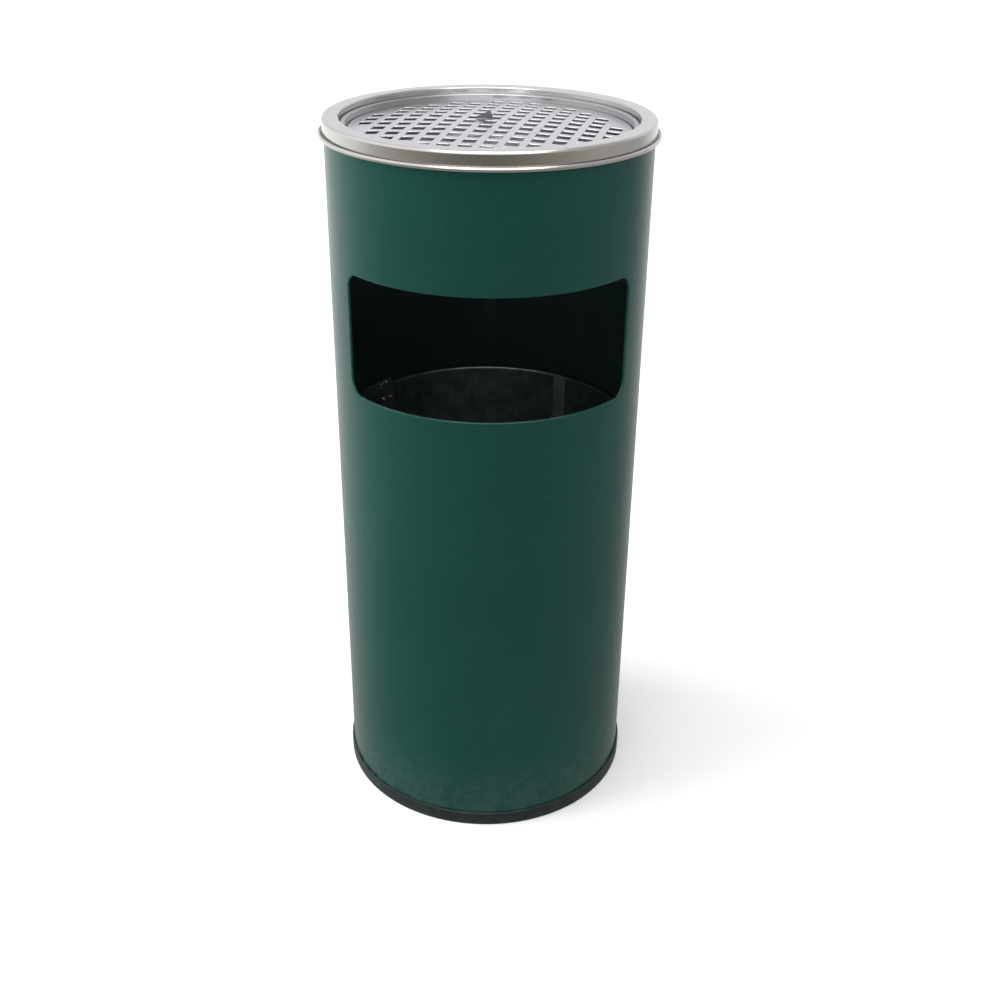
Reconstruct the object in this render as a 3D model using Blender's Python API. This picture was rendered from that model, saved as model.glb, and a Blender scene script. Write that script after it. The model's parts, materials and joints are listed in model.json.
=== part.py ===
"""Ashtray bin: a sheet-steel litter bin with a side opening, a loose liner and a lift-off ashtray top.

Metres, +Z up. The origin is on the floor at the bin's axis. The side opening faces -Y.
Azimuths are measured about the axis from -Y towards +X.
"""

import math

import bmesh
import bpy
from mathutils import Matrix, Vector

# Overall sizes
TOTAL_HEIGHT = 0.5835
SHELL_RADIUS = 0.125
SHELL_WALL = 0.0007
GAP = 0.0003            # between pieces that touch
SEGMENTS = 48           # flats round every turned piece

# Side opening, and its edge turned inwards
OPENING_DROP = 0.1024   # from the crown's top to the opening's top edge
OPENING_HEIGHT = 0.0957
OPENING_HALF_ANGLE = math.radians(57)
OPENING_CORNER = 0.012
OPENING_EDGE_DEPTH = 0.0018

# Lap seam inside the shell, at the back
SHELL_SEAM_WIDTH = 0.014

# Plastic foot ring
FOOT_HEIGHT = 0.0125
FOOT_FLOOR = 0.0026
FOOT_WALL = 0.0015
FOOT_INNER_HEIGHT = 0.009
FOOT_ROUNDING = 0.0009

# Bottom plate in the shell's foot
PLATE_SHEET = 0.0008
PLATE_TOP = 0.014
FLANGE_TURN = 0.0008    # corner between a plate and its flange

# Ashtray ring: crown, band and rolled lip
RING_SHEET = 0.0007
BAND_CLEARANCE = 0.0005
CROWN_ROUNDING = 0.0025
CROWN_WIDTH = 0.0128    # from the band's outer face to the inner wall
CROWN_INNER_ROUNDING = 0.0012
LEDGE_DROP = 0.007      # from the crown's top to the ledge that carries the pan
LEDGE_WIDTH = 0.004
LIP_RADIUS = 0.0019
LIP_DROP = 0.0120       # from the crown's top to the middle of the rolled lip
LIP_END_ANGLE = math.radians(35)

# Ash pan
PAN_SHEET = 0.0006
PAN_BEAD_HEIGHT = 0.0018
PAN_BEAD_WIDTH = 0.0033
PAN_STEP_DROP = 0.0113  # from the crown's top to the step that carries the grate
PAN_STEP_WIDTH = 0.0042
PAN_DEPTH = 0.040       # from the crown's top to the pan's floor
PAN_FLOOR_ROUNDING = 0.006

# Grate
GRATE_SHEET = 0.0009
GRATE_EDGE_HEIGHT = 0.0014
GRATE_EDGE_WIDTH = 0.0025
GRATE_CLEARANCE = 0.0006
GRATE_DOME = 0.004
GRATE_PITCH = 0.0156
GRATE_HOLE = 0.010
GRATE_TURN = math.radians(-13.4)
GRATE_SEAT_RISE = 0.0002

# Tab that lifts the grate, spot-welded to it
TAB_SHEET = 0.0009
TAB_HEIGHT = 0.0059
TAB_BASE = 0.0142
TAB_TIP = 0.0018
TAB_TIP_SHIFT = 0.0042
TAB_FOOT = 0.0028

# Liner bucket
LINER_SHEET = 0.0006
LINER_CLEARANCE = 0.0030  # between the liner's widest part and the opening's turned-in edge
LINER_RIM_DROP = 0.0514   # from the opening's bottom edge to the liner's rim
RIM_ROLL_RADIUS = 0.0022
LINER_FLOOR_RISE = 0.008  # from the liner's foot to its floor
LINER_SEAM_WIDTH = 0.012
LINER_SEAM_AZIMUTH = math.radians(146)

# Bail, its ears and their rivets
BAIL_AZIMUTH = math.radians(-128)
BAIL_WIRE_RADIUS = 0.002
BAIL_PIN_RADIUS = 0.0014
BAIL_HEAD_RADIUS = 0.0024
BAIL_HEAD_LENGTH = 0.001
BAIL_BEND = 0.003
EAR_SHEET = 0.0012
EAR_WIDTH = 0.016
EAR_BELOW_RIM = 0.020
EAR_ABOVE_PIN = 0.004
EAR_STANDOFF = 0.0007   # from the liner's inner face to the flat ear's back
PIN_CLEARANCE = 0.0004
RIVET_RADIUS = 0.0015
RIVET_HEAD_RADIUS = 0.0028
RIVET_HEAD_HEIGHT = 0.0011
RIVET_SPACING = 0.009
RIVET_BELOW_RIM = 0.013

# Places that follow from the sizes above
SHELL_INNER = SHELL_RADIUS - SHELL_WALL
BAND_INNER = SHELL_RADIUS + BAND_CLEARANCE
BAND_OUTER = BAND_INNER + RING_SHEET
CROWN_CENTRE = BAND_OUTER - CROWN_ROUNDING      # radius of the centre of the outer corner
SHELL_TOP = TOTAL_HEIGHT - CROWN_ROUNDING + math.sqrt(
    (CROWN_ROUNDING - RING_SHEET - GAP) ** 2 - (SHELL_RADIUS - CROWN_CENTRE) ** 2)
SHELL_BOTTOM = FOOT_FLOOR + GAP
FLANGE_OUTER = SHELL_INNER - GAP
FLANGE_INNER = FLANGE_OUTER - PLATE_SHEET
OPENING_TOP = TOTAL_HEIGHT - OPENING_DROP
OPENING_BOTTOM = OPENING_TOP - OPENING_HEIGHT

LEDGE_TOP = TOTAL_HEIGHT - LEDGE_DROP
RING_WALL = BAND_OUTER - CROWN_WIDTH            # inner face of the ring's inner wall
LEDGE_INNER = RING_WALL - LEDGE_WIDTH

PAN_RIM_OUTER = LEDGE_INNER - GAP
PAN_RIM_INNER = PAN_RIM_OUTER - PAN_SHEET
PAN_STEP_TOP = TOTAL_HEIGHT - PAN_STEP_DROP
PAN_INNER = PAN_RIM_INNER - PAN_STEP_WIDTH - PAN_SHEET
PAN_FLOOR = TOTAL_HEIGHT - PAN_DEPTH

GRATE_RADIUS = PAN_RIM_INNER - GRATE_CLEARANCE
GRATE_EDGE_BOTTOM = PAN_STEP_TOP + GAP
GRATE_EDGE_TOP = GRATE_EDGE_BOTTOM + GRATE_EDGE_HEIGHT
GRATE_FIELD_RADIUS = GRATE_RADIUS - GRATE_EDGE_WIDTH
GRATE_SHEET_EDGE = GRATE_EDGE_TOP - GRATE_SEAT_RISE

LINER_RIM_TOP = OPENING_BOTTOM - LINER_RIM_DROP
LINER_WIDEST = SHELL_RADIUS - OPENING_EDGE_DEPTH - LINER_CLEARANCE
LINER_INNER = LINER_WIDEST - 2 * RIM_ROLL_RADIUS
LINER_OUTER = LINER_INNER + LINER_SHEET
RIM_CENTRE_RADIUS = LINER_WIDEST - RIM_ROLL_RADIUS
RIM_CENTRE_HEIGHT = LINER_RIM_TOP - RIM_ROLL_RADIUS
LINER_FOOT = PLATE_TOP + GAP
LINER_FLOOR_TOP = LINER_FOOT + LINER_FLOOR_RISE

PIN_HEIGHT = LINER_RIM_TOP + GAP + BAIL_WIRE_RADIUS
BAIL_RADIUS = RIM_CENTRE_RADIUS
EAR_OUTER = LINER_INNER - EAR_STANDOFF
EAR_INNER = EAR_OUTER - EAR_SHEET
RIVET_HEIGHT = LINER_RIM_TOP - RIVET_BELOW_RIM


# Geometry helpers

def clear_scene():
    for item in list(bpy.data.objects):
        bpy.data.objects.remove(item)


def make_material(name, colour, roughness, metallic):
    material = bpy.data.materials.new(name)
    material.use_nodes = True
    shader = material.node_tree.nodes["Principled BSDF"]
    shader.inputs["Base Color"].default_value = (*colour, 1)
    shader.inputs["Roughness"].default_value = roughness
    shader.inputs["Metallic"].default_value = metallic
    return material


def add_object(name, mesh_builder, material=None):
    """Makes an object from a bmesh, with its faces pointing out."""
    bmesh.ops.recalc_face_normals(mesh_builder, faces=mesh_builder.faces)
    mesh = bpy.data.meshes.new(name)
    mesh_builder.to_mesh(mesh)
    mesh_builder.free()
    mesh.shade_smooth()
    mesh.set_sharp_from_angle(angle=math.radians(35))
    made = bpy.data.objects.new(name, mesh)
    bpy.context.scene.collection.objects.link(made)
    if material:
        mesh.materials.append(material)
    else:
        made.hide_render = True
        made.display_type = "WIRE"
    return made


def polar(radius, azimuth, height):
    return Vector((radius * math.sin(azimuth), -radius * math.cos(azimuth), height))


def arc(centre_radius, centre_height, radius, start, end, steps):
    """Points of an arc in the (radius, height) plane, with angles in degrees from +radius."""
    points = []
    for i in range(steps + 1):
        angle = math.radians(start + (end - start) * i / steps)
        points.append((centre_radius + radius * math.cos(angle), centre_height + radius * math.sin(angle)))
    return points


def turned(name, outline, material=None, segments=SEGMENTS):
    """A closed (radius, height) outline turned about Z. A point at radius 0 closes on the axis."""
    bm = bmesh.new()
    rings = []
    for radius, height in outline:
        if radius == 0:
            rings.append([bm.verts.new((0, 0, height))] * segments)
        else:
            rings.append([bm.verts.new(polar(radius, math.tau * i / segments, height))
                          for i in range(segments)])
    for ring, following in zip(rings, rings[1:] + rings[:1]):
        if ring[0] is ring[1] and following[0] is following[1]:
            continue
        for i in range(segments):
            j = (i + 1) % segments
            corners = dict.fromkeys((ring[i], ring[j], following[j], following[i]))
            bm.faces.new(corners)
    return add_object(name, bm, material)


def wrapped(name, inner, outer, stations, material=None):
    """A block wrapped round the axis: stations are (azimuth, low, high), from one end to the other."""
    bm = bmesh.new()
    frames = []
    for azimuth, low, high in stations:
        corners = ((inner, low), (outer, low), (outer, high), (inner, high))
        frames.append([bm.verts.new(polar(radius, azimuth, height)) for radius, height in corners])
    for frame, following in zip(frames, frames[1:]):
        for i in range(4):
            j = (i + 1) % 4
            bm.faces.new((frame[i], frame[j], following[j], following[i]))
    bm.faces.new(frames[0])
    bm.faces.new(frames[-1])
    return add_object(name, bm, material)


def even_stations(start, end, low, high):
    """Stations for a plain wrapped strip, one or more to each flat of a turned piece."""
    count = max(2, math.ceil((end - start) * SEGMENTS / math.tau))
    return [(start + (end - start) * i / count, low, high) for i in range(count + 1)]


def window_stations(grow):
    """Stations of the opening's rounded outline, grown outwards all round by grow."""
    corner = OPENING_CORNER + grow
    half = OPENING_HALF_ANGLE * SHELL_RADIUS + grow
    low, high = OPENING_BOTTOM - grow, OPENING_TOP + grow
    flat = half - corner
    steps = 5
    corner_places = [(flat + corner * math.sin(math.pi / 2 * i / steps),
                      corner * (1 - math.cos(math.pi / 2 * i / steps))) for i in range(1, steps + 1)]
    count = math.ceil(2 * flat / SHELL_RADIUS * SEGMENTS / math.tau)
    middle = [(-flat + 2 * flat * i / count, 0) for i in range(count + 1)]
    left = [(-place, rise) for place, rise in reversed(corner_places)]
    return [(place / SHELL_RADIUS, low + rise, high - rise) for place, rise in left + middle + corner_places]


def boolean(target, operation, tool):
    modifier = target.modifiers.new(operation.lower() + "_" + tool.name, "BOOLEAN")
    modifier.operation = operation
    modifier.object = tool
    modifier.solver = "EXACT"


def radial_cylinder(name, radius, inner, outer, azimuth, height, sideways=0.0, sides=12):
    """A cylinder along a radius of the bin, for pin and rivet holes."""
    bm = bmesh.new()
    bmesh.ops.create_cone(bm, cap_ends=True, segments=sides, radius1=radius, radius2=radius,
                          depth=outer - inner)
    made = add_object(name, bm)
    made.matrix_world = radial_frame(azimuth, height, sideways) @ Matrix.Translation((0, 0, (inner + outer) / 2))
    return made


def radial_frame(azimuth, height, sideways=0.0):
    """A frame whose Z axis points outwards along a radius and whose Y axis points up."""
    outwards = polar(1, azimuth, 0)
    up = Vector((0, 0, 1))
    side = up.cross(outwards)
    rotation = Matrix((side, up, outwards)).transposed().to_4x4()
    return Matrix.Translation(side * sideways + up * height) @ rotation


# Shell and foot

def build_shell(paint):
    """The rolled tube, with its turned-in opening edge and the lap inside its back."""
    shell = turned("outer_shell", [(SHELL_INNER, SHELL_BOTTOM), (SHELL_RADIUS, SHELL_BOTTOM),
                                   (SHELL_RADIUS, SHELL_TOP), (SHELL_INNER, SHELL_TOP)], paint)
    half_seam = SHELL_SEAM_WIDTH / 2 / SHELL_RADIUS
    seam_top = TOTAL_HEIGHT - LIP_DROP
    seam = wrapped("shell_seam_lap", SHELL_INNER - SHELL_WALL, SHELL_INNER + SHELL_WALL / 2,
                   even_stations(math.pi - half_seam, math.pi + half_seam, PLATE_TOP + GAP, seam_top))
    edge = wrapped("opening_edge", SHELL_RADIUS - OPENING_EDGE_DEPTH, SHELL_RADIUS - SHELL_WALL / 2,
                   window_stations(SHELL_WALL))
    window = wrapped("opening_cut", SHELL_RADIUS - 2 * OPENING_EDGE_DEPTH,
                     SHELL_RADIUS + 2 * OPENING_EDGE_DEPTH, window_stations(0))
    boolean(shell, "UNION", seam)
    boolean(shell, "UNION", edge)
    boolean(shell, "DIFFERENCE", window)


def build_foot(plastic):
    """The U-section ring that takes the shell's edge and the bottom plate's flange."""
    outer_face = SHELL_RADIUS + GAP + FOOT_WALL
    channel_inner = FLANGE_INNER - GAP
    inner_face = channel_inner - FOOT_WALL
    turned("base_ring", [
        (inner_face, 0), (outer_face - FOOT_ROUNDING, 0), (outer_face, FOOT_ROUNDING),
        (outer_face, FOOT_HEIGHT - FOOT_ROUNDING), (outer_face - FOOT_ROUNDING, FOOT_HEIGHT),
        (SHELL_RADIUS + GAP, FOOT_HEIGHT), (SHELL_RADIUS + GAP, FOOT_FLOOR),
        (channel_inner, FOOT_FLOOR), (channel_inner, FOOT_INNER_HEIGHT), (inner_face, FOOT_INNER_HEIGHT),
    ], plastic)


def flanged_plate(name, outer, top, sheet, flange_end, material):
    """A round plate whose flange turns down inside a tube."""
    turned(name, [
        (0, top - sheet), (outer - sheet, top - sheet), (outer - sheet, flange_end), (outer, flange_end),
        (outer, top - FLANGE_TURN), (outer - FLANGE_TURN, top), (0, top),
    ], material)


# Ashtray top

def build_ring(steel):
    """Crown, band and rolled lip in one sheet, with the inner wall and ledge that carry the pan."""
    top, sheet = TOTAL_HEIGHT, RING_SHEET
    corner_height = top - CROWN_ROUNDING
    lip_radius = BAND_INNER + LIP_RADIUS
    lip_height = top - LIP_DROP
    lip_end = math.degrees(LIP_END_ANGLE)
    wall_corner = RING_WALL + CROWN_INNER_ROUNDING
    outline = [(LEDGE_INNER, LEDGE_TOP), (RING_WALL, LEDGE_TOP)]
    outline += arc(wall_corner, top - CROWN_INNER_ROUNDING, CROWN_INNER_ROUNDING, 180, 90, 2)
    outline += arc(CROWN_CENTRE, corner_height, CROWN_ROUNDING, 90, 0, 3)
    outline += arc(lip_radius, lip_height, LIP_RADIUS - sheet, 180, 360 + lip_end, 4)
    outline += arc(lip_radius, lip_height, LIP_RADIUS, 360 + lip_end, 180, 5)
    outline += arc(CROWN_CENTRE, corner_height, CROWN_ROUNDING - sheet, 0, 90, 3)
    outline += [(wall_corner, top - sheet), (RING_WALL + sheet, top - CROWN_INNER_ROUNDING),
                (RING_WALL + sheet, LEDGE_TOP - sheet), (LEDGE_INNER, LEDGE_TOP - sheet)]
    turned("ashtray_ring", outline, steel)


def build_pan(steel):
    """The dish: a flat rolled bead on the ring's ledge, a step for the grate, and the deep bowl."""
    bead_bottom = LEDGE_TOP + GAP
    bead_top = bead_bottom + PAN_BEAD_HEIGHT
    bead_outer = PAN_RIM_OUTER + PAN_BEAD_WIDTH
    cut = PAN_BEAD_HEIGHT / 3
    corner = PAN_INNER + PAN_SHEET
    floor_corner = PAN_INNER - PAN_FLOOR_ROUNDING
    floor_height = PAN_FLOOR + PAN_FLOOR_ROUNDING
    outline = [(0, PAN_FLOOR)]
    outline += arc(floor_corner, floor_height, PAN_FLOOR_ROUNDING, -90, 0, 3)
    outline += [(PAN_INNER, PAN_STEP_TOP - PAN_SHEET), (corner, PAN_STEP_TOP), (PAN_RIM_INNER, PAN_STEP_TOP)]
    outline += [(PAN_RIM_INNER, bead_top - 2 * cut), (PAN_RIM_OUTER, bead_top - cut / 2),
                (PAN_RIM_OUTER + 2 * cut, bead_top), (bead_outer - cut, bead_top),
                (bead_outer, bead_top - cut), (bead_outer, bead_bottom), (PAN_RIM_OUTER, bead_bottom)]
    outline += [(PAN_RIM_OUTER, PAN_STEP_TOP - PAN_SHEET), (corner, PAN_STEP_TOP - PAN_SHEET)]
    outline += arc(floor_corner, floor_height, PAN_FLOOR_ROUNDING + PAN_SHEET, 0, -90, 3)
    outline += [(0, PAN_FLOOR - PAN_SHEET)]
    turned("ash_pan", outline, steel)


def dome_height(radius):
    """Top surface of the grate's sheet at a distance from the axis."""
    return GRATE_SHEET_EDGE + GRATE_DOME * (1 - (radius / GRATE_FIELD_RADIUS) ** 2)


def grate_hole_fits(column, row):
    """True if the square hole at that place in the pattern stays inside the edge band."""
    reach = [max(abs(place * GRATE_PITCH + side * GRATE_HOLE / 2) for side in (-1, 1)) for place in (column, row)]
    return math.hypot(*reach) < GRATE_FIELD_RADIUS - (GRATE_PITCH - GRATE_HOLE) / 4


def build_grate(steel):
    """The domed sheet with its square holes, and the edge band round it."""
    count = math.ceil(GRATE_FIELD_RADIUS / GRATE_PITCH) + 1
    lines = []
    for place in range(-count, count + 1):
        lines += [place * GRATE_PITCH - GRATE_HOLE / 2, place * GRATE_PITCH + GRATE_HOLE / 2]
    bm = bmesh.new()
    layers = []
    for drop in (0, GRATE_SHEET):
        layers.append([[bm.verts.new((x, y, dome_height(math.hypot(x, y)) - drop)) for y in lines]
                       for x in lines])
    last = len(lines) - 1
    filled = {(i, j): not (i % 2 == 0 and j % 2 == 0 and grate_hole_fits(i // 2 - count, j // 2 - count))
              for i in range(last) for j in range(last)}
    for (i, j), solid in filled.items():
        if not solid:
            continue
        around = ((i, j), (i + 1, j), (i + 1, j + 1), (i, j + 1))
        for layer in layers:
            bm.faces.new([layer[a][b] for a, b in around])
        beyond = ((i, j - 1), (i + 1, j), (i, j + 1), (i - 1, j))
        for k, neighbour in enumerate(beyond):
            if filled.get(neighbour):
                continue
            (a, b), (c, d) = around[k], around[(k + 1) % 4]
            bm.faces.new((layers[0][a][b], layers[0][c][d], layers[1][c][d], layers[1][a][b]))
    grate = add_object("grate", bm, steel)
    grate.rotation_euler.z = GRATE_TURN
    trim_radius = GRATE_RADIUS - GRATE_EDGE_WIDTH / 2
    trim = turned("grate_trim", [(0, 0), (trim_radius, 0), (trim_radius, 2 * TOTAL_HEIGHT), (0, 2 * TOTAL_HEIGHT)])
    chamfer = GRATE_EDGE_HEIGHT / 4
    edge = turned("grate_edge", [
        (GRATE_FIELD_RADIUS, GRATE_EDGE_BOTTOM), (GRATE_RADIUS - chamfer, GRATE_EDGE_BOTTOM),
        (GRATE_RADIUS, GRATE_EDGE_BOTTOM + chamfer), (GRATE_RADIUS, GRATE_EDGE_TOP - chamfer),
        (GRATE_RADIUS - chamfer, GRATE_EDGE_TOP), (GRATE_FIELD_RADIUS, GRATE_EDGE_TOP + chamfer),
    ])
    boolean(grate, "INTERSECT", trim)
    boolean(grate, "UNION", edge)


def build_lift_tab(steel):
    """A bent tab: a triangle stands on a foot that lies along the bar between two rows of holes."""
    middle = Vector((-GRATE_PITCH / 2 + TAB_TIP_SHIFT / 3, GRATE_PITCH / 2))
    front, half = middle.y - TAB_SHEET / 2, TAB_BASE / 2
    foot = dome_height(front) + GAP
    upright = [(-half, 0), (half, 0), (TAB_TIP_SHIFT + TAB_TIP / 2, TAB_HEIGHT),
               (TAB_TIP_SHIFT - TAB_TIP / 2, TAB_HEIGHT)]
    base = [(-half, 0), (half, 0), (half, TAB_SHEET), (-half, TAB_SHEET)]
    made = []
    for name, outline, depth in (("lift_tab", upright, TAB_SHEET), ("lift_tab_foot", base, TAB_FOOT)):
        bm = bmesh.new()
        ends = []
        for y in (front, front + depth):
            ends.append([bm.verts.new((middle.x + x, y, foot + z)) for x, z in outline])
            bm.faces.new(ends[-1])
        for i in range(4):
            j = (i + 1) % 4
            bm.faces.new((ends[0][i], ends[0][j], ends[1][j], ends[1][i]))
        made.append(add_object(name, bm, None if made else steel))
        made[-1].rotation_euler.z = GRATE_TURN
    boolean(made[0], "UNION", made[1])


# Liner

def build_liner_wall(zinc):
    """The bucket's wall, its rim rolled outwards round the wire, its lap seam, and its rivet holes."""
    outline = [(LINER_INNER, LINER_FOOT)]
    outline += arc(RIM_CENTRE_RADIUS, RIM_CENTRE_HEIGHT, RIM_ROLL_RADIUS, 180, -90, 6)
    outline += arc(RIM_CENTRE_RADIUS, RIM_CENTRE_HEIGHT, RIM_ROLL_RADIUS - LINER_SHEET, -90, 180, 6)
    outline += [(LINER_OUTER, LINER_FOOT)]
    wall = turned("liner_wall", outline, zinc)
    half_seam = LINER_SEAM_WIDTH / 2 / LINER_INNER
    seam = wrapped("liner_seam_lap", LINER_INNER - LINER_SHEET, LINER_INNER + LINER_SHEET / 2,
                   even_stations(LINER_SEAM_AZIMUTH - half_seam, LINER_SEAM_AZIMUTH + half_seam,
                                 LINER_FLOOR_TOP + GAP, RIM_CENTRE_HEIGHT))
    boolean(wall, "UNION", seam)
    for hole in rivet_holes("wall", EAR_OUTER, LINER_OUTER + LINER_SHEET):
        boolean(wall, "DIFFERENCE", hole)


def build_rim_wire(steel):
    wire_radius = (RIM_ROLL_RADIUS - LINER_SHEET) * math.cos(math.pi / 8) - GAP
    outline = arc(RIM_CENTRE_RADIUS, RIM_CENTRE_HEIGHT, wire_radius, 0, 300, 5)
    turned("liner_rim_wire", outline, steel)


def ear_azimuths():
    return {"a": BAIL_AZIMUTH, "b": BAIL_AZIMUTH + math.pi}


def rivet_holes(name, inner, outer):
    holes = []
    for ear, azimuth in ear_azimuths().items():
        for side in (-1, 1):
            holes.append(radial_cylinder(f"{name}_rivet_hole_{ear}{side}", RIVET_RADIUS + GAP, inner, outer,
                                         azimuth, RIVET_HEIGHT, side * RIVET_SPACING / 2, 8))
    return holes


def build_ear(ear, azimuth, steel):
    """A flat ear plate with a rounded head round the pin hole."""
    low = LINER_RIM_TOP - EAR_BELOW_RIM
    head = EAR_WIDTH / 2
    shoulder = PIN_HEIGHT + EAR_ABOVE_PIN - head
    outline = [(-head, low), (head, low)]
    outline += arc(0, shoulder, head, 0, 180, 8)
    bm = bmesh.new()
    sides = []
    for radius in (EAR_INNER, EAR_OUTER):
        sides.append([bm.verts.new((x, z, radius)) for x, z in outline])
        bm.faces.new(sides[-1])
    for i in range(len(outline)):
        j = (i + 1) % len(outline)
        bm.faces.new((sides[0][i], sides[0][j], sides[1][j], sides[1][i]))
    plate = add_object("liner_ear_" + ear, bm, steel)
    plate.matrix_world = radial_frame(azimuth, 0)
    pin_hole = radial_cylinder("pin_hole_" + ear, BAIL_PIN_RADIUS + PIN_CLEARANCE, EAR_INNER - EAR_SHEET,
                               EAR_OUTER + EAR_SHEET, azimuth, PIN_HEIGHT)
    boolean(plate, "DIFFERENCE", pin_hole)
    for side in (-1, 1):
        hole = radial_cylinder(f"ear_{ear}_rivet_hole_{side}", RIVET_RADIUS + GAP, EAR_INNER - EAR_SHEET,
                               EAR_OUTER + EAR_SHEET, azimuth, RIVET_HEIGHT, side * RIVET_SPACING / 2, 8)
        boolean(plate, "DIFFERENCE", hole)


def build_rivets(steel):
    """Four rivets, domed inside the liner and flat outside, that share one mesh."""
    inside = EAR_INNER - GAP
    reach = math.hypot(LINER_OUTER, RIVET_SPACING / 2 + RIVET_HEAD_RADIUS) - LINER_OUTER
    outside = LINER_OUTER + GAP + reach
    outline = [(0, inside - RIVET_HEAD_HEIGHT), (RIVET_HEAD_RADIUS * 0.6, inside - RIVET_HEAD_HEIGHT * 0.85),
               (RIVET_HEAD_RADIUS, inside - RIVET_HEAD_HEIGHT * 0.2), (RIVET_HEAD_RADIUS, inside),
               (RIVET_RADIUS, inside), (RIVET_RADIUS, outside), (RIVET_HEAD_RADIUS, outside),
               (RIVET_HEAD_RADIUS, outside + RIVET_HEAD_HEIGHT / 2), (0, outside + RIVET_HEAD_HEIGHT / 2)]
    shared = None
    for ear, azimuth in ear_azimuths().items():
        for number, side in enumerate((-1, 1), start=1):
            name = f"liner_rivet_{ear}{number}"
            if shared is None:
                rivet = turned(name, outline, steel, segments=10)
                shared = rivet.data
            else:
                rivet = bpy.data.objects.new(name, shared)
                bpy.context.scene.collection.objects.link(rivet)
            rivet.matrix_world = radial_frame(azimuth, RIVET_HEIGHT, side * RIVET_SPACING / 2)


def build_bail(steel):
    """The bail as one bent wire: a headed pin in each ear and a half circle that lies on the rim."""
    head_end = EAR_INNER - GAP
    pin = BAIL_PIN_RADIUS / BAIL_WIRE_RADIUS
    head = BAIL_HEAD_RADIUS / BAIL_WIRE_RADIUS
    bend_centre = BAIL_RADIUS - BAIL_BEND
    shoulder = EAR_OUTER + GAP
    points = [(polar(head_end - BAIL_HEAD_LENGTH, BAIL_AZIMUTH, 0), head),
              (polar(head_end - GAP, BAIL_AZIMUTH, 0), head),
              (polar(head_end, BAIL_AZIMUTH, 0), pin),
              (polar(shoulder, BAIL_AZIMUTH, 0), pin),
              (polar(shoulder + GAP, BAIL_AZIMUTH, 0), 1.0)]
    outwards, along = polar(1, BAIL_AZIMUTH, 0), polar(1, BAIL_AZIMUTH + math.pi / 2, 0)
    centre = outwards * bend_centre + along * BAIL_BEND
    for degrees in (30, 60):
        turn = math.radians(degrees)
        points.append((centre + (outwards * math.sin(turn) - along * math.cos(turn)) * BAIL_BEND, 1.0))
    steps = 28
    first = math.asin(BAIL_BEND / BAIL_RADIUS)
    for i in range(steps // 2 + 1):
        azimuth = BAIL_AZIMUTH + first + (math.pi / 2 - first) * i / (steps // 2)
        points.append((polar(BAIL_RADIUS, azimuth, 0), 1.0))
    middle = polar(1, BAIL_AZIMUTH + math.pi / 2, 0)
    mirrored = [(2 * middle * point.dot(middle) - point, size) for point, size in reversed(points[:-1])]
    points += mirrored
    curve = bpy.data.curves.new("bail_handle", "CURVE")
    curve.dimensions = "3D"
    curve.bevel_depth = BAIL_WIRE_RADIUS
    curve.bevel_resolution = 2
    curve.use_fill_caps = True
    spline = curve.splines.new("POLY")
    spline.points.add(len(points) - 1)
    for target, (point, size) in zip(spline.points, points):
        target.co = (*point, 1)
        target.radius = size
    curve.materials.append(steel)
    pivot = bpy.data.objects.new("bail_pivot", None)
    pivot.location = (0, 0, PIN_HEIGHT)
    bail = bpy.data.objects.new("bail_handle", curve)
    bail.parent = pivot
    for item in (pivot, bail):
        bpy.context.scene.collection.objects.link(item)


def build_bin():
    clear_scene()
    paint = make_material("green_powder_coat", (0.018, 0.075, 0.058), 0.42, 0.0)
    plastic = make_material("black_plastic", (0.022, 0.023, 0.022), 0.5, 0.0)
    brushed = make_material("satin_stainless", (0.62, 0.61, 0.59), 0.3, 1.0)
    pressed = make_material("pressed_stainless", (0.66, 0.66, 0.65), 0.24, 1.0)
    zinc = make_material("galvanised_sheet", (0.36, 0.38, 0.38), 0.45, 1.0)
    wire = make_material("zinc_wire", (0.45, 0.46, 0.46), 0.35, 1.0)
    build_shell(paint)
    build_foot(plastic)
    flanged_plate("bottom_plate", FLANGE_OUTER, PLATE_TOP, PLATE_SHEET, SHELL_BOTTOM, zinc)
    build_ring(brushed)
    build_pan(pressed)
    build_grate(pressed)
    build_lift_tab(pressed)
    build_liner_wall(zinc)
    build_rim_wire(wire)
    flanged_plate("liner_bottom", LINER_INNER - GAP, LINER_FLOOR_TOP, LINER_SHEET, LINER_FOOT, zinc)
    for ear, azimuth in ear_azimuths().items():
        build_ear(ear, azimuth, wire)
    build_rivets(wire)
    build_bail(wire)


build_bin()
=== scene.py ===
"""Ashtray bin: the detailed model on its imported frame, with a studio round it.

Metres, +Z up, the bin's axis on Z and its side opening towards -Y.
Azimuths run about the axis from -Y towards +X.
"""

import json
import math

import bmesh
import bpy
from mathutils import Matrix, Vector, noise


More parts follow.
